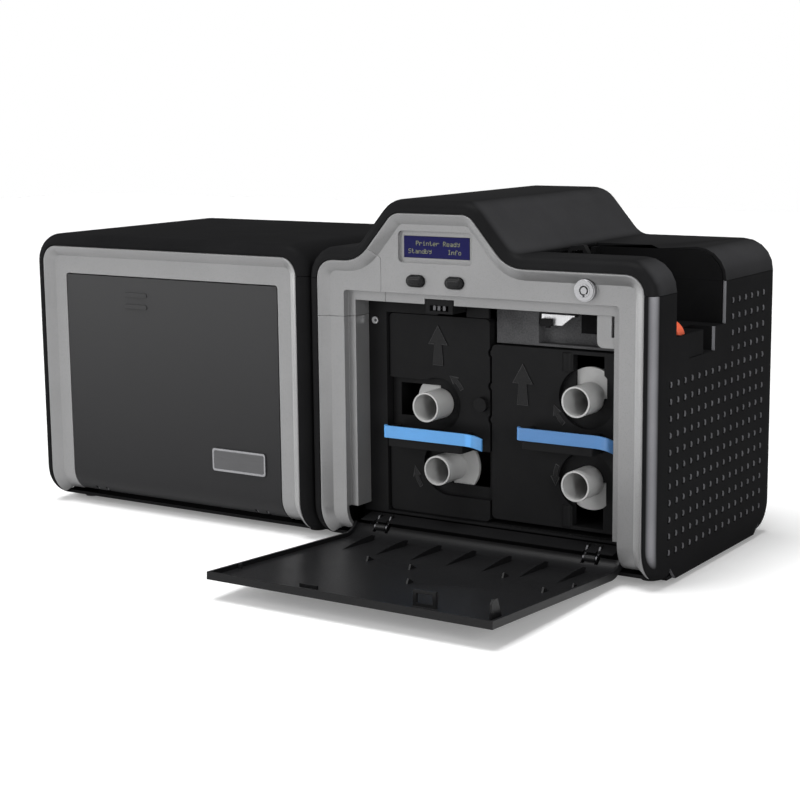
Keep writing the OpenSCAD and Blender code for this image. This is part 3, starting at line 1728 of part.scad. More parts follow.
base_pan();
rubber_feet();
right_cover();
left_cover();
rear_cover();
top_cover();
bezel_panel();
bezel_trim();
hopper_liner();
finger_cup();
hopper_lever();
feed_roller();
display_window();
left_button();
right_button();
lock_body();
lock_barrel();
door_catch();
sill();
hinge_clips();
front_door();
front_frame();
bay_panel();
sensor_bracket();
sensor_clip();
frame_screws();
ribbon_cartridge();
ribbon_handle();
ribbon_supply_core();
ribbon_takeup_core();
ribbon_supply_roll();
ribbon_takeup_roll();
film_cartridge();
film_handle();
film_supply_core();
film_takeup_core();
film_supply_roll();
film_takeup_roll();
mid_plate();
print_head();
platen_roller();
drive_motor();
motor_pinion();
drive_gear();
fan_frame();
fan_rotor();
power_supply();
circuit_board();
power_inlet();
power_switch();
module_base();
module_top_cover();
module_left_cover();
module_right_cover();
module_rear_cover();
module_bezel();
module_door();
name_plate();
heated_roller();
pressure_roller();
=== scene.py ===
"""Looks for the desktop card printer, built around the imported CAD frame."""
import bpy
import bmesh
import math
from mathutils import Matrix, Vector

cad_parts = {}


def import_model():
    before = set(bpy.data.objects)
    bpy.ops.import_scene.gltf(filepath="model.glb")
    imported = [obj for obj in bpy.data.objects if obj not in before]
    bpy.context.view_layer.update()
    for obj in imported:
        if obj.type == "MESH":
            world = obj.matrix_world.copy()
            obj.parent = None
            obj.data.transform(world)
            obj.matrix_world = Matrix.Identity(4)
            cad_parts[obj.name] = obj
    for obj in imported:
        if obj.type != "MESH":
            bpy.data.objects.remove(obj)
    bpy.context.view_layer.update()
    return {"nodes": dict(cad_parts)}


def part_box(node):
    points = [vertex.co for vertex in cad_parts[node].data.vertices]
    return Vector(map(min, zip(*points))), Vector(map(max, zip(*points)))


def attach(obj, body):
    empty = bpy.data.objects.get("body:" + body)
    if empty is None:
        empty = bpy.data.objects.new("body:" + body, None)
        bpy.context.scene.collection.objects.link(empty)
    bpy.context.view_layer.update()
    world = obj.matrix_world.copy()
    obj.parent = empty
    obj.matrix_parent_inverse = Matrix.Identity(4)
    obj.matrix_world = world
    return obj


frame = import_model()
NODES = frame["nodes"]

# Build frame of the CAD source: X from the printer's left side, Y from its front rim,
# Z from the table
LEFT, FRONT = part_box("top_cover")[0][0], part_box("top_cover")[0][1]
MM = 0.001


def at(x, y, z):
    """A point of the build frame, in millimetres, as a row-frame point in metres."""
    return Vector((LEFT + x * MM, FRONT + y * MM, z * MM))


# ---------------------------------------------------------------- materials

# Noise scale of the slow clouds in a plastic, and the fine grain's share of its colour change
CLOUD_SCALE = 22
FINE_SHARE = 0.35
# Half the range of a plastic's roughness
ROUGH_SPREAD = 0.08


def new_material(name):
    """Material with a Principled shader, its tree, the shader and object coordinates."""
    mat = bpy.data.materials.new(name)
    mat.use_nodes = True
    tree = mat.node_tree
    tree.nodes.clear()
    out = tree.nodes.new("ShaderNodeOutputMaterial")
    shader = tree.nodes.new("ShaderNodeBsdfPrincipled")
    tree.links.new(shader.outputs["BSDF"], out.inputs["Surface"])
    coords = tree.nodes.new("ShaderNodeTexCoord")
    return mat, tree, shader, coords.outputs["Object"]


def noise(tree, coord, scale, detail=2.0, rough=0.5, stretch=None):
    """Noise over the coordinates, drawn out by a stretch along each axis."""
    if stretch:
        mapping = tree.nodes.new("ShaderNodeMapping")
        mapping.inputs["Scale"].default_value = stretch
        tree.links.new(coord, mapping.inputs["Vector"])
        coord = mapping.outputs["Vector"]
    node = tree.nodes.new("ShaderNodeTexNoise")
    node.inputs["Scale"].default_value = scale
    node.inputs["Detail"].default_value = detail
    node.inputs["Roughness"].default_value = rough
    tree.links.new(coord, node.inputs["Vector"])
    return node.outputs["Fac"]


def remap(tree, value, low, high, start=0.3, end=0.7):
    """Value from start to end taken to low to high, and held at both ends."""
    node = tree.nodes.new("ShaderNodeMapRange")
    node.inputs["From Min"].default_value = start
    node.inputs["From Max"].default_value = end
    node.inputs["To Min"].default_value = low
    node.inputs["To Max"].default_value = high
    tree.links.new(value, node.inputs["Value"])
    return node.outputs["Result"]


def blend_colours(tree, fac, a, b):
    """Colour a at factor 0 and b at factor 1."""
    node = tree.nodes.new("ShaderNodeMix")
    node.data_type = "RGBA"
    node.inputs["A"].default_value = (*a, 1)
    node.inputs["B"].default_value = (*b, 1)
    tree.links.new(fac, node.inputs["Factor"])
    return node.outputs["Result"]


def add_bump(tree, shader, height, strength, distance, edge=0.0):
    """Bump from a height, over edges rounded to a radius in metres where one is given."""
    bump = tree.nodes.new("ShaderNodeBump")
    bump.inputs["Strength"].default_value = strength
    bump.inputs["Distance"].default_value = distance
    tree.links.new(height, bump.inputs["Height"])
    if edge:
        bevel = tree.nodes.new("ShaderNodeBevel")
        bevel.samples = 4
        bevel.inputs["Radius"].default_value = edge
        tree.links.new(bevel.outputs["Normal"], bump.inputs["Normal"])
    tree.links.new(bump.outputs["Normal"], shader.inputs["Normal"])


def painted_light_tone(tree, colour, direction, start, end, factor, behind=None):
    """Painted light: colour times a factor where the surface turns towards a direction of the part,
    all over or only behind a depth in millimetres; a factor above 1 paints a highlight, below 1
    paints shade."""
    coords = tree.nodes.new("ShaderNodeTexCoord")
    dot = tree.nodes.new("ShaderNodeVectorMath")
    dot.operation = "DOT_PRODUCT"
    dot.inputs[1].default_value = direction
    tree.links.new(coords.outputs["Normal"], dot.inputs[0])
    scale = tree.nodes.new("ShaderNodeVectorMath")
    scale.operation = "SCALE"
    tree.links.new(colour, scale.inputs[0])
    amount = remap(tree, dot.outputs["Value"], 1, factor, start, end)
    if behind is not None:
        split = tree.nodes.new("ShaderNodeSeparateXYZ")
        tree.links.new(coords.outputs["Object"], split.inputs[0])
        edge = FRONT + behind * MM
        inside = remap(tree, split.outputs["Y"], 0, 1, edge, edge + MM)
        mix = tree.nodes.new("ShaderNodeMix")
        mix.inputs["A"].default_value = 1.0
        tree.links.new(inside, mix.inputs["Factor"])
        tree.links.new(amount, mix.inputs["B"])
        amount = mix.outputs["Result"]
    tree.links.new(amount, scale.inputs["Scale"])
    return scale.outputs["Vector"]


def plastic(name, colour, rough=0.45, spread=0.12, grain=1600, bump=0.25, depth=0.00012,
            metallic=0.0, spec=0.5, edge=0.0005, coat=0.0, painted_lights=()):
    """Moulded or painted surface: cloudy colour, fine grain in bump and roughness, soft edges, and
    painted highlights or shade where the surface faces given directions.
    """
    mat, tree, shader, coord = new_material(name)
    cloud = noise(tree, coord, CLOUD_SCALE, 3)
    fine = noise(tree, coord, grain, 2)
    dark = tuple(c * (1 - spread) for c in colour)
    light = tuple(min(1, c * (1 + spread)) for c in colour)
    both = tree.nodes.new("ShaderNodeMath")
    both.operation = "MULTIPLY_ADD"
    both.inputs[1].default_value = FINE_SHARE
    tree.links.new(fine, both.inputs[0])
    scaled = tree.nodes.new("ShaderNodeMath")
    scaled.operation = "MULTIPLY"
    scaled.inputs[1].default_value = 1 - FINE_SHARE
    tree.links.new(cloud, scaled.inputs[0])
    tree.links.new(scaled.outputs[0], both.inputs[2])
    fac = remap(tree, both.outputs[0], 0, 1)
    base = blend_colours(tree, fac, dark, light)
    # Painted highlights and shade by the direction the surface faces
    for painted_light in painted_lights:
        base = painted_light_tone(tree, base, *painted_light)
    tree.links.new(base, shader.inputs["Base Color"])
    tree.links.new(remap(tree, fine, rough - ROUGH_SPREAD, rough + ROUGH_SPREAD),
                   shader.inputs["Roughness"])
    shader.inputs["Metallic"].default_value = metallic
    shader.inputs["Specular IOR Level"].default_value = spec
    shader.inputs["Coat Weight"].default_value = coat
    shader.inputs["Coat Roughness"].default_value = rough * 0.8
    add_bump(tree, shader, fine, bump, depth, edge)
    return mat


def cover_plastic(name, colour, edge, coat, painted_lights=()):
    """Black plastic of the outer covers, with painted highlights where given."""
    return plastic(name, colour, 0.5, 0.15, 1500, 0.3, spec=0.0, edge=edge, coat=coat,
                   painted_lights=painted_lights)


def metal(name, colour, rough, stretch=None, scale=900, bump=0.12, spread=0.1):
    """Metal with a brushed or ground grain."""
    mat, tree, shader, coord = new_material(name)
    grain = noise(tree, coord, scale, 3, 0.6, stretch)
    cloud = noise(tree, coord, 30, 2)
    dark = tuple(c * (1 - spread) for c in colour)
    tree.links.new(blend_colours(tree, remap(tree, cloud, 0, 1), dark, colour),
                   shader.inputs["Base Color"])
    tree.links.new(remap(tree, grain, rough * 0.75, rough * 1.3), shader.inputs["Roughness"])
    shader.inputs["Metallic"].default_value = 1.0
    add_bump(tree, shader, grain, bump, 0.00005, 0.0003)
    return mat


def painted_shade_door():
    """The module's door: painted light, lighter at the top and painted shade darker towards its
    foot.
    """
    mat, tree, shader, coord = new_material("module_door_black")
    split = tree.nodes.new("ShaderNodeSeparateXYZ")
    tree.links.new(coord, split.inputs["Vector"])
    # Painted shade: colour darker towards the foot, lighter towards the top
    up = remap(tree, split.outputs["Z"], 0, 1, 0.02, 0.21)
    colour = blend_colours(tree, up, (0.016, 0.016, 0.017), (0.042, 0.042, 0.043))
    tree.links.new(colour, shader.inputs["Base Color"])
    fine = noise(tree, coord, 1500, 2)
    tree.links.new(remap(tree, fine, 0.4, 0.56), shader.inputs["Roughness"])
    shader.inputs["Specular IOR Level"].default_value = 0.05
    shader.inputs["Coat Weight"].default_value = 0.15
    shader.inputs["Coat Roughness"].default_value = 0.4
    add_bump(tree, shader, fine, 0.25, 0.00012, 0.0005)
    return mat


def wound_web(name, colour, sheen):
    """Side of a wound roll: fine rings about the node's own axis."""
    mat, tree, shader, coord = new_material(name)
    fine = noise(tree, coord, 2200, 3, 0.6, (1, 0.02, 1))
    dark = tuple(c * 0.7 for c in colour)
    tree.links.new(blend_colours(tree, remap(tree, fine, 0, 1), dark, colour),
                   shader.inputs["Base Color"])
    tree.links.new(remap(tree, fine, sheen, sheen + 0.2), shader.inputs["Roughness"])
    add_bump(tree, shader, fine, 0.3, 0.0001)
    return mat


COVER_BLACK = (0.010, 0.010, 0.0105)
# Painted highlights and shade, each (direction, start, end, factor[, depth behind which they
# begin]), see the painted light function above
# Painted sheen on the black covers where they face right and up, at the right shoulder
PAINTED_SHOULDER_SHEEN = ((0.78, 0, 0.62), 0.75, 1.0, 4)
# Painted highlight along the right cover's rounded front corner
PAINTED_RIGHT_CORNER_HIGHLIGHT = ((0.66, -0.75, 0), 0.9, 1.0, 26)
# Painted highlight on the right cover's front-facing walls behind a depth of 18 mm, the dimples'
# back walls
PAINTED_DIMPLE_HIGHLIGHT = ((0, -1, 0), 0.5, 0.8, 22, 18)
# Painted highlight on the silver where it faces left, its right-hand bevels
PAINTED_LEFT_FACING_HIGHLIGHT = ((-1, 0, 0), 0.3, 0.65, 1.9)
# Painted shade on the silver where it faces down, its top bevels
PAINTED_DOWN_FACING_SHADE = ((0, 0, -1), 0.3, 0.65, 0.8)
# Painted highlight along the module's left cover's front edge
PAINTED_LEFT_CORNER_HIGHLIGHT = ((-0.84, -0.54, 0), 0.96, 1.0, 14)

M = {
    "bay": plastic("bay_plastic", (0.007, 0.007, 0.0073), 0.6, 0.2, 1300, 0.3, spec=0.0,
                   coat=0.02),
    "black": cover_plastic("black_plastic", COVER_BLACK, 0.0008, 0.04, [PAINTED_SHOULDER_SHEEN]),
    "side": cover_plastic("side_plastic", (0.008, 0.008, 0.0085), 0.0005, 0.05,
                          [PAINTED_RIGHT_CORNER_HIGHLIGHT, PAINTED_DIMPLE_HIGHLIGHT]),
    "module": cover_plastic("module_plastic", COVER_BLACK, 0.0008, 0.02),
    "silver": plastic("silver_bezel", (0.235, 0.235, 0.237), 0.34, 0.05, 2600, 0.12, 0.00008,
                      metallic=0.4, edge=0.0007, painted_lights=[PAINTED_LEFT_FACING_HIGHLIGHT, PAINTED_DOWN_FACING_SHADE]),
    "module_left": cover_plastic("module_left_plastic", COVER_BLACK, 0.0005, 0.02,
                                 [PAINTED_LEFT_CORNER_HIGHLIGHT]),
    "plate_frame": metal("plate_frame", (0.28, 0.28, 0.29), 0.3),
    "inner": plastic("inner_plastic", (0.011, 0.011, 0.0115), 0.45, 0.2, 1300, 0.3, spec=0.0,
                     edge=0.0008, coat=0.12),
    "door_inner": plastic("door_plastic", (0.009, 0.009, 0.0095), 0.36, 0.12, 1500, 0.3, spec=0.05,
                          coat=0.2),
    "grained": plastic("grained_panel", (0.085, 0.085, 0.088), 0.6, 0.55, 700, 1.0, 0.0005,
                       spec=0.1),
    "foot": plastic("foot_rubber", (0.02, 0.02, 0.02), 0.8, 0.2, 900, 0.5),
    "steel": metal("brushed_steel", (0.62, 0.62, 0.63), 0.3, (1, 1, 0.04)),
    "clip": metal("clip_steel", (0.10, 0.10, 0.105), 0.36),
    "galvanised": metal("zinc_plate", (0.55, 0.56, 0.58), 0.38, None, 160, 0.1, 0.25),
    "chrome": metal("lock_chrome", (0.36, 0.36, 0.37), 0.2, None, 1400, 0.04, 0.04),
    "button": plastic("button_plastic", (0.004, 0.004, 0.0045), 0.3, 0.2, 2000, 0.05, spec=0.12,
                      coat=0.15),
    # Painted highlights on the grip: its left end and the bend of its band
    "blue": plastic("grip_blue", (0.10, 0.34, 0.72), 0.36, 0.08, 1400, 0.2,
                    painted_lights=[((-0.85, -0.53, 0), 0.7, 0.95, 1.5),
                           ((0.26, -0.97, 0), 0.985, 1.0, 1.3)]),
    # Painted highlight at the grip's left end
    "deep_blue": plastic("grip_deep_blue", (0.07, 0.20, 0.44), 0.36, 0.1, 1400, 0.2,
                         painted_lights=[((-0.85, -0.53, 0), 0.7, 0.95, 1.6)]),
    "core": plastic("core_plastic", (0.43, 0.43, 0.427), 0.36, 0.05, 1400, 0.12),
    "orange": plastic("roller_rubber", (0.72, 0.10, 0.03), 0.6, 0.1, 900, 0.6),
    "rubber": plastic("platen_rubber", (0.02, 0.02, 0.022), 0.6, 0.15, 1200, 0.4),
    "board": plastic("board_green", (0.012, 0.085, 0.035), 0.35, 0.3, 300, 0.3, coat=0.3),
    "gear": plastic("gear_nylon", (0.72, 0.70, 0.64), 0.45, 0.05, 1500, 0.2),
    # Light grey of the arrows' edges: a painted highlight
    "outline": plastic("outline_grey", (0.05, 0.05, 0.051), 0.5, 0.1, 1500, 0.2, spec=0.1),
    "plate": metal("plate_dark", (0.1, 0.1, 0.103), 0.4, (0.05, 1, 1)),
    "brass": metal("pinion_brass", (0.72, 0.53, 0.22), 0.3),
    "ribbon": wound_web("ribbon_web", (0.06, 0.04, 0.035), 0.25),
    "film": wound_web("film_web", (0.45, 0.47, 0.5), 0.2),
    "lcd": plastic("lcd_blue", (0.004, 0.004, 0.06), 0.2, 0.1, 700, 0.03, spec=0.1,
                   coat=0.1),
}
M["door"] = painted_shade_door()

LOOKS = {
    "side": "right_cover",
    "black": "left_cover rear_cover top_cover base_pan sill",
    "module_left": "module_left_cover",
    "plate_frame": "name_plate",
    "module": "module_top_cover module_right_cover module_rear_cover module_base",
    "door": "module_door",
    "door_inner": "front_door",
    "silver": "bezel_panel bezel_trim module_bezel",
    "bay": "hopper_liner finger_cup",
    "inner": "front_frame hopper_lever door_catch sensor_clip ribbon_cartridge "
             "film_cartridge fan_frame fan_rotor power_inlet power_switch",
    "grained": "bay_panel",
    "foot": "rubber_feet",
    "steel": "sensor_bracket frame_screws print_head heated_roller",
    "clip": "hinge_clips",
    "galvanised": "mid_plate drive_motor power_supply",
    "chrome": "lock_body lock_barrel",
    "lcd": "display_window",
    "button": "left_button right_button",
    "blue": "ribbon_handle",
    "deep_blue": "film_handle",
    "core": "ribbon_supply_core ribbon_takeup_core film_supply_core film_takeup_core",
    "ribbon": "ribbon_supply_roll ribbon_takeup_roll",
    "film": "film_supply_roll film_takeup_roll",
    "orange": "feed_roller",
    "rubber": "platen_roller pressure_roller",
    "board": "circuit_board",
    "gear": "drive_gear",
    "brass": "motor_pinion",
}


def smooth_group():
    """Geometry nodes that weld a node's faces and shade smooth all but its sharp edges."""
    group = bpy.data.node_groups.new("weld_and_smooth", "GeometryNodeTree")
    group.interface.new_socket("Geometry", in_out="INPUT", socket_type="NodeSocketGeometry")
    group.interface.new_socket("Geometry", in_out="OUTPUT", socket_type="NodeSocketGeometry")
    into = group.nodes.new("NodeGroupInput")
    out = group.nodes.new("NodeGroupOutput")
    merge = group.nodes.new("GeometryNodeMergeByDistance")
    merge.inputs["Distance"].default_value = 2e-6
    faces = group.nodes.new("GeometryNodeSetShadeSmooth")
    faces.domain = "FACE"
    edges = group.nodes.new("GeometryNodeSetShadeSmooth")
    edges.domain = "EDGE"
    edges.inputs["Shade Smooth"].default_value = False
    angle = group.nodes.new("GeometryNodeInputMeshEdgeAngle")
    limit = group.nodes.new("ShaderNodeMath")
    limit.operation = "GREATER_THAN"
    limit.inputs[1].default_value = math.radians(33)
    link = group.links.new
    link(into.outputs[0], merge.inputs["Geometry"])
    link(merge.outputs["Geometry"], faces.inputs["Geometry"])
    link(faces.outputs["Geometry"], edges.inputs["Geometry"])
    link(angle.outputs["Unsigned Angle"], limit.inputs[0])
    link(limit.outputs[0], edges.inputs["Selection"])
    link(edges.outputs["Geometry"], out.inputs[0])
    return group


SMOOTH = smooth_group()


def smoothed(obj):
    """Takes off the stored normals, which the modifier works out again."""
    custom = obj.data.attributes.get("custom_normal")
    if custom:
        obj.data.attributes.remove(custom)
    obj.modifiers.new("smooth", "NODES").node_group = SMOOTH


for look, names in LOOKS.items():
    for name in names.split():
        node = NODES[name]
        for s in node.material_slots:
            s.material = M[look]
        smoothed(node)

# ---------------------------------------------------------------- detail pieces

def polar(x, z, r, angle):
    """Point at a radius and an angle in degrees about (x, z)."""
    turn = math.radians(angle)
    return x + r * math.cos(turn), z + r * math.sin(turn)


def prism(bm, points, y0, y1):
    """Solid with an outline of (x, z) points between two depths, all in the build frame."""
    front = [bm.verts.new(at(x, y0, z)) for x, z in points]
    back = [bm.verts.new(at(x, y1, z)) for x, z in points]
    bm.faces.new(front[::-1])
    bm.faces.new(back)
    for i in range(len(points)):
        j = (i + 1) % len(points)
        bm.faces.new((front[i], front[j], back[j], back[i]))


def layers(bm, rings):
    """Closed solid through rings of points, capped at both ends."""
    loops = [[bm.verts.new(at(*p)) for p in ring] for ring in rings]
    n = len(loops[0])
    for a, b in zip(loops, loops[1:]):
        for i in range(n):
            j = (i + 1) % n
            bm.faces.new((a[i], a[j], b[j], b[i]))
    bm.faces.new(loops[0][::-1])
    bm.faces.new(loops[-1])


def piece(name, bm, look, body):
    """Object from a bmesh that rides on a body of the frame."""
    bmesh.ops.recalc_face_normals(bm, faces=bm.faces[:])
    mesh = bpy.data.meshes.new(name)
    bm.to_mesh(mesh)
    bm.free()
    obj = bpy.data.objects.new(name, mesh)
    mesh.materials.append(M[look])
    bpy.context.collection.objects.link(obj)
    obj.modifiers.new("smooth", "NODES").node_group = SMOOTH
    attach(obj, body)


def stadium(x, z, w, h, n=10):
    """Outline of an oval with straight long sides, clockwise from the left end's foot."""
    r, run = h / 2, (w - h) / 2
    left = [polar(x - run, z, r, 270 - 180 * k / n) for k in range(n + 1)]
    right = [polar(x + run, z, r, 90 - 180 * k / n) for k in range(n + 1)]
    return left + right


def button_cap(name, x, body):
    """Moulded cap of a button: a soft-edged oval with a raised middle."""
    z, front = 227.0, 3.6
    steps = [(15.6, 8.2, front + 0.3), (15.4, 8.0, front - 0.1), (14.8, 7.4, front - 0.45),
             (12.4, 5.4, front - 0.6), (11.4, 4.6, front - 1.0), (10.6, 3.8, front - 1.15)]
    bm = bmesh.new()
    layers(bm, [[(px, y, pz) for px, pz in stadium(x, z, w, h)] for w, h, y in steps])
    piece(name, bm, "button", body)


button_cap("left_button_cap", 104.0, "left_button")
button_cap("right_button_cap", 140.2, "right_button")

GLYPHS = {
    "P": "11110 10001 10001 11110 10000 10000 10000",
    "R": "11110 10001 10001 11110 10100 10010 10001",
    "S": "01111 10000 10000 01110 00001 00001 11110",
    "I": "01110 00100 00100 00100 00100 00100 01110",
    "r": "00000 00000 10110 11001 10000 10000 10000",
    "i": "00100 00000 01100 00100 00100 00100 01110",
    "n": "00000 00000 10110 11001 10001 10001 10001",
    "t": "01000 01000 11100 01000 01000 01001 00110",
    "e": "00000 00000 01110 10001 11111 10000 01110",
    "a": "00000 00000 01110 00001 01111 10001 01111",
    "d": "00001 00001 01101 10011 10001 10001 01111",
    "y": "00000 10001 10001 01111 00001 00001 01110",
    "b": "10000 10000 10110 11001 10001 10001 11110",
    "f": "00110 01001 01000 11100 01000 01000 01000",
    "o": "00000 00000 01110 10001 10001 10001 01110",
}


def display_dots():
    """Generic status words in dots on the display."""
    pitch, size, depth = 0.53, 0.4, 8.4
    bm = bmesh.new()
    for text, x0, top in (("Printer Ready", 102.8, 258.6), ("Standby", 95.6, 252.2),
                          ("Info", 132.6, 252.2)):
        for k, letter in enumerate(text):
            for row, bits in enumerate(GLYPHS.get(letter, "").split()):
                for col, bit in enumerate(bits):
                    if bit == "1":
                        x = x0 + (6 * k + col) * pitch
                        z = top - row * pitch
                        prism(bm, [(x, z), (x, z + size), (x + size, z + size), (x + size, z)],
                              depth - 0.12, depth + 0.1)
    piece("display_dots", bm, "dots", "housing")


M["dots"] = plastic("display_dots", (0.42, 0.44, 0.2), 0.5, 0.05, 900, 0.02)
display_dots()


def turn_arrow(bm, x, z, r, a0, a1, width, y0, y1, n=10):
    """Curved arrow about (x, z) from angle a0 to a1, with its head at a1."""
    sign = 1 if a1 > a0 else -1
    head = 11 * sign
    body = [a0 + (a1 - head - a0) * k / n for k in range(n + 1)]
    outer = [polar(x, z, r + width / 2, a) for a in body]
    inner = [polar(x, z, r - width / 2, a) for a in body]
    wing = [polar(x, z, r + width * 1.15, a1 - head), polar(x, z, r, a1 + head * 0.4),
            polar(x, z, r - width * 1.15, a1 - head)]
    prism(bm, outer + wing + inner[::-1], y0, y1)


def straight_arrow(bm, x, z, h, inset, y0, y1):
    """Upright arrow with its foot at (x, z), drawn in by an inset."""
    mid, d = z + 0.52 * h, inset
    prism(bm, [(x, z + h - 2.2 * d), (x - 9.3 + 1.6 * d, mid + d), (x - 3.6 + 0.4 * d, mid + d),
               (x - 5 + d, z + d), (x + 5 - d, z + d), (x + 3.6 - 0.4 * d, mid + d),
               (x + 9.3 - 1.6 * d, mid + d)], y0, y1)


def cartridge_marks(kind, arrow, turns):
    """Outlined arrows on a cartridge: a light edge, a painted highlight of the moulded edge, and a
    darker face over it.
    """
    # The light outline paints the highlight along the arrows' edges
    for look, d, y0, y1 in (("outline", 0.0, 34.12, 34.3), ("button", 0.45, 34.06, 34.2)):
        bm = bmesh.new()
        straight_arrow(bm, *arrow, d, y0, y1)
        for x, z, r, a0, a1 in turns:
            turn = math.copysign(1.2, a1 - a0)
            turn_arrow(bm, x, z, r, a0 + turn * d * 2, a1 - turn * d * 2, 3.6 - 1.5 * d,
                       y0 + 0.5, y1 + 0.85)
        piece(f"{kind}_arrow_{look}", bm, look, f"{kind}_cartridge")


cartridge_marks("ribbon", (106.6, 155.3, 33.0),
                [(105.5, 123.0, 27.2, 30, 60), (116.2, 71.5, 33.0, 216, 188)])
cartridge_marks("film", (185.57, 129.0, 33.5),
                [(242.2, 139.0, 29.5, 228, 198), (242.2, 72.6, 27.5, 156, 188)])


def rounded(x0, x1, z0, z1, r, n=5):
    """Upright rectangle with round corners, clockwise."""
    points = []
    for cx, cz, start in ((x0 + r, z0 + r, 270), (x0 + r, z1 - r, 180),
                          (x1 - r, z1 - r, 90), (x1 - r, z0 + r, 0)):
        points += [polar(cx, cz, r, start - 90 * k / n) for k in range(n + 1)]
    return points


def bay_back_wall():
    """Upper part of the hopper's back wall, up to the underside of the top cover."""
    shelf_z, seam_z, shelf_x = 230.05, 226.05, 239.2
    outline = [(203.9, shelf_z), (203.9, 249.3)]
    outline += [polar(291, 226, 23.3, 90 - 9 * k) for k in range(11)]
    outline += [(314.1, seam_z), (shelf_x, seam_z), (shelf_x, shelf_z)]
    bm = bmesh.new()
    prism(bm, outline, 126.8, 128.6)
    piece("bay_back_wall", bm, "bay", "housing")


bay_back_wall()


def small_parts():
    """Name plate's field, lock's slotted ring, screw's socket as a dark piece of painted shade, and
    the catch's teeth.
    """
    lock_x, lock_z = 256.4, 227.6
    screw_x, screw_z = 48.2, 189.5

    bm = bmesh.new()
    prism(bm, rounded(-106.9, -52.7, 51.9, 68.1, 1.4), 4.62, 4.85)
    piece("name_plate_field", bm, "plate", "module_door")

    bm = bmesh.new()
    arc = range(-50, 231, 10)
    prism(bm, [polar(lock_x, lock_z, 3.5, a) for a in arc]
          + [polar(lock_x, lock_z, 2.5, a) for a in arc[::-1]], 0.62, 1.6)
    piece("lock_ring", bm, "button", "lock_barrel")

    # Painted shade: a dark hex standing for the shade inside the screw's socket
    bm = bmesh.new()
    rings = [(y, [polar(screw_x, screw_z, r, a) for a in range(0, 360, 60)])
             for r, y in ((1.35, 30.25), (1.5, 30.5))]
    layers(bm, [[(x, y, z) for x, z in ring] for y, ring in rings])
    piece("frame_screw_socket", bm, "clip", "housing")

    bm = bmesh.new()
    for x in (115.4, 119.6, 124.6):
        prism(bm, rounded(x, x + 2.4, 203.4, 207.2, 0.6), 13.2, 16.5)
    piece("catch_teeth", bm, "clip", "housing")


small_parts()

# ---------------------------------------------------------------- stage, lights and camera

def seen_rays(tree):
    """1 for camera, glossy and transmission rays."""
    path = tree.nodes.new("ShaderNodeLightPath")
    value = path.outputs["Is Camera Ray"]
    for name in ("Is Glossy Ray", "Is Transmission Ray"):
        top = tree.nodes.new("ShaderNodeMath")
        top.operation = "MAXIMUM"
        tree.links.new(value, top.inputs[0])
        tree.links.new(path.outputs[name], top.inputs[1])
        value = top.outputs[0]
    return value


def stage_material():
    """Pale matt floor that looks white where the camera, metal or glass sees it."""
    mat = bpy.data.materials.new("stage_white")
    mat.use_nodes = True
    tree = mat.node_tree
    tree.nodes.clear()
    out = tree.nodes.new("ShaderNodeOutputMaterial")
    shade = tree.nodes.new("ShaderNodeBsdfDiffuse")
    shade.inputs["Color"].default_value = (0.86, 0.86, 0.86, 1)
    glow = tree.nodes.new("ShaderNodeEmission")
    tree.links.new(remap(tree, seen_rays(tree), 0, 0.2, 0, 1), glow.inputs["Strength"])
    both = tree.nodes.new("ShaderNodeAddShader")
    tree.links.new(shade.outputs[0], both.inputs[0])
    tree.links.new(glow.outputs[0], both.inputs[1])
    tree.links.new(both.outputs[0], out.inputs["Surface"])
    return mat


def make_floor():
    """Flat grid of n by n squares, size metres wide."""
    bm = bmesh.new()
    n, size = 24, 8.0
    grid = [[bm.verts.new(((i / n - 0.5) * size, (j / n - 0.5) * size, 0)) for j in range(n + 1)]
            for i in range(n + 1)]
    for i in range(n):
        for j in range(n):
            bm.faces.new((grid[i][j], grid[i + 1][j], grid[i + 1][j + 1], grid[i][j + 1]))
    mesh = bpy.data.meshes.new("floor")
    bm.to_mesh(mesh)
    bm.free()
    floor = bpy.data.objects.new("floor", mesh)
    floor.data.materials.append(stage_material())
    bpy.context.collection.objects.link(floor)


make_floor()


def world():
    """Soft light that is stronger from the front than from the back, white to the camera."""
    w = bpy.data.worlds.new("studio")
    bpy.context.scene.world = w
    w.use_nodes = True
    tree = w.node_tree
    tree.nodes.clear()
    out = tree.nodes.new("ShaderNodeOutputWorld")
    soft = tree.nodes.new("ShaderNodeBackground")
    soft.inputs["Color"].default_value = (1, 1, 1, 1)
    coords = tree.nodes.new("ShaderNodeTexCoord")
    split = tree.nodes.new("ShaderNodeSeparateXYZ")
    tree.links.new(coords.outputs["Generated"], split.inputs[0])
    level = remap(tree, split.outputs["Y"], 0.42, 0.1, -0.7, 0.5)
    tree.links.new(level, soft.inputs["Strength"])
    white = tree.nodes.new("ShaderNodeBackground")
    white.inputs["Color"].default_value = (1, 1, 1, 1)
    white.inputs["Strength"].default_value = 1.0
    mix = tree.nodes.new("ShaderNodeMixShader")
    tree.links.new(seen_rays(tree), mix.inputs[0])
    tree.links.new(soft.outputs[0], mix.inputs[1])
    tree.links.new(white.outputs[0], mix.inputs[2])
    tree.links.new(mix.outputs[0], out.inputs[0])


world()


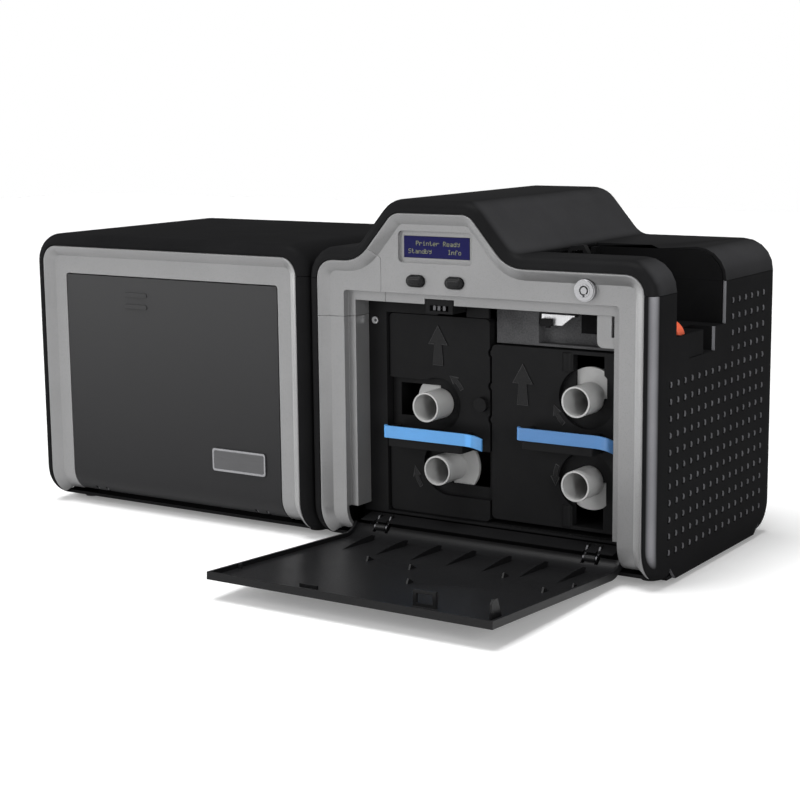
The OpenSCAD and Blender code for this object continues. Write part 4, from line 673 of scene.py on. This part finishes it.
def lamp(name, place, target, size, power):
    """Rectangular area lamp that faces a target."""
    data = bpy.data.lights.new(name, "AREA")
    data.shape = "RECTANGLE"
    data.size, data.size_y = size
    data.energy = power
    obj = bpy.data.objects.new(name, data)
    obj.location = place
    obj.rotation_euler = (Vector(target) - Vector(place)).to_track_quat("-Z", "Y").to_euler()
    bpy.context.collection.objects.link(obj)


def overhead(power, angle):
    """Broad light from straight above that keeps the floor even and its shadows short."""
    data = bpy.data.lights.new("overhead", "SUN")
    data.energy = power
    data.angle = math.radians(angle)
    obj = bpy.data.objects.new("overhead", data)
    obj.rotation_euler = (math.radians(8), math.radians(-6), 0)
    bpy.context.collection.objects.link(obj)


lamp("key", (-1.0, -1.6, 1.0), (0.05, 0, 0.12), (1.3, 1.1), 13)
lamp("left", (-1.6, -0.2, 0.45), (0, 0, 0.15), (0.5, 0.8), 6)
lamp("right", (1.15, -0.8, 0.35), (0.15, -0.1, 0.15), (0.22, 0.6), 5)
overhead(2.5, 34)

scene = bpy.context.scene
scene.view_settings.view_transform = "Standard"


# Camera sensor in millimetres and the picture it was fitted to in pixels
SENSOR = 36
PICTURE = 800


def make_camera(x, y, z, yaw, pitch, roll, focal):
    """Camera from a fit in the build frame: millimetres, radians, focal length in pixels of 800."""
    fwd = Vector((-math.sin(yaw) * math.cos(pitch), math.cos(yaw) * math.cos(pitch),
                  -math.sin(pitch)))
    right = Vector((math.cos(yaw), math.sin(yaw), 0))
    up = right.cross(fwd)
    r2 = math.cos(roll) * right + math.sin(roll) * up
    u2 = -math.sin(roll) * right + math.cos(roll) * up
    data = bpy.data.cameras.new("camera")
    data.sensor_width = SENSOR
    data.lens = SENSOR * focal / PICTURE
    data.clip_start = 0.01
    cam = bpy.data.objects.new("camera", data)
    rot = Matrix((r2, u2, -fwd)).transposed().to_4x4()
    cam.matrix_world = Matrix.Translation(at(x, y, z)) @ rot
    bpy.context.collection.objects.link(cam)
    scene.camera = cam


make_camera(861.203, -1180.921, 375.513, 0.57769, 0.17214, -0.01096, 1768.48)
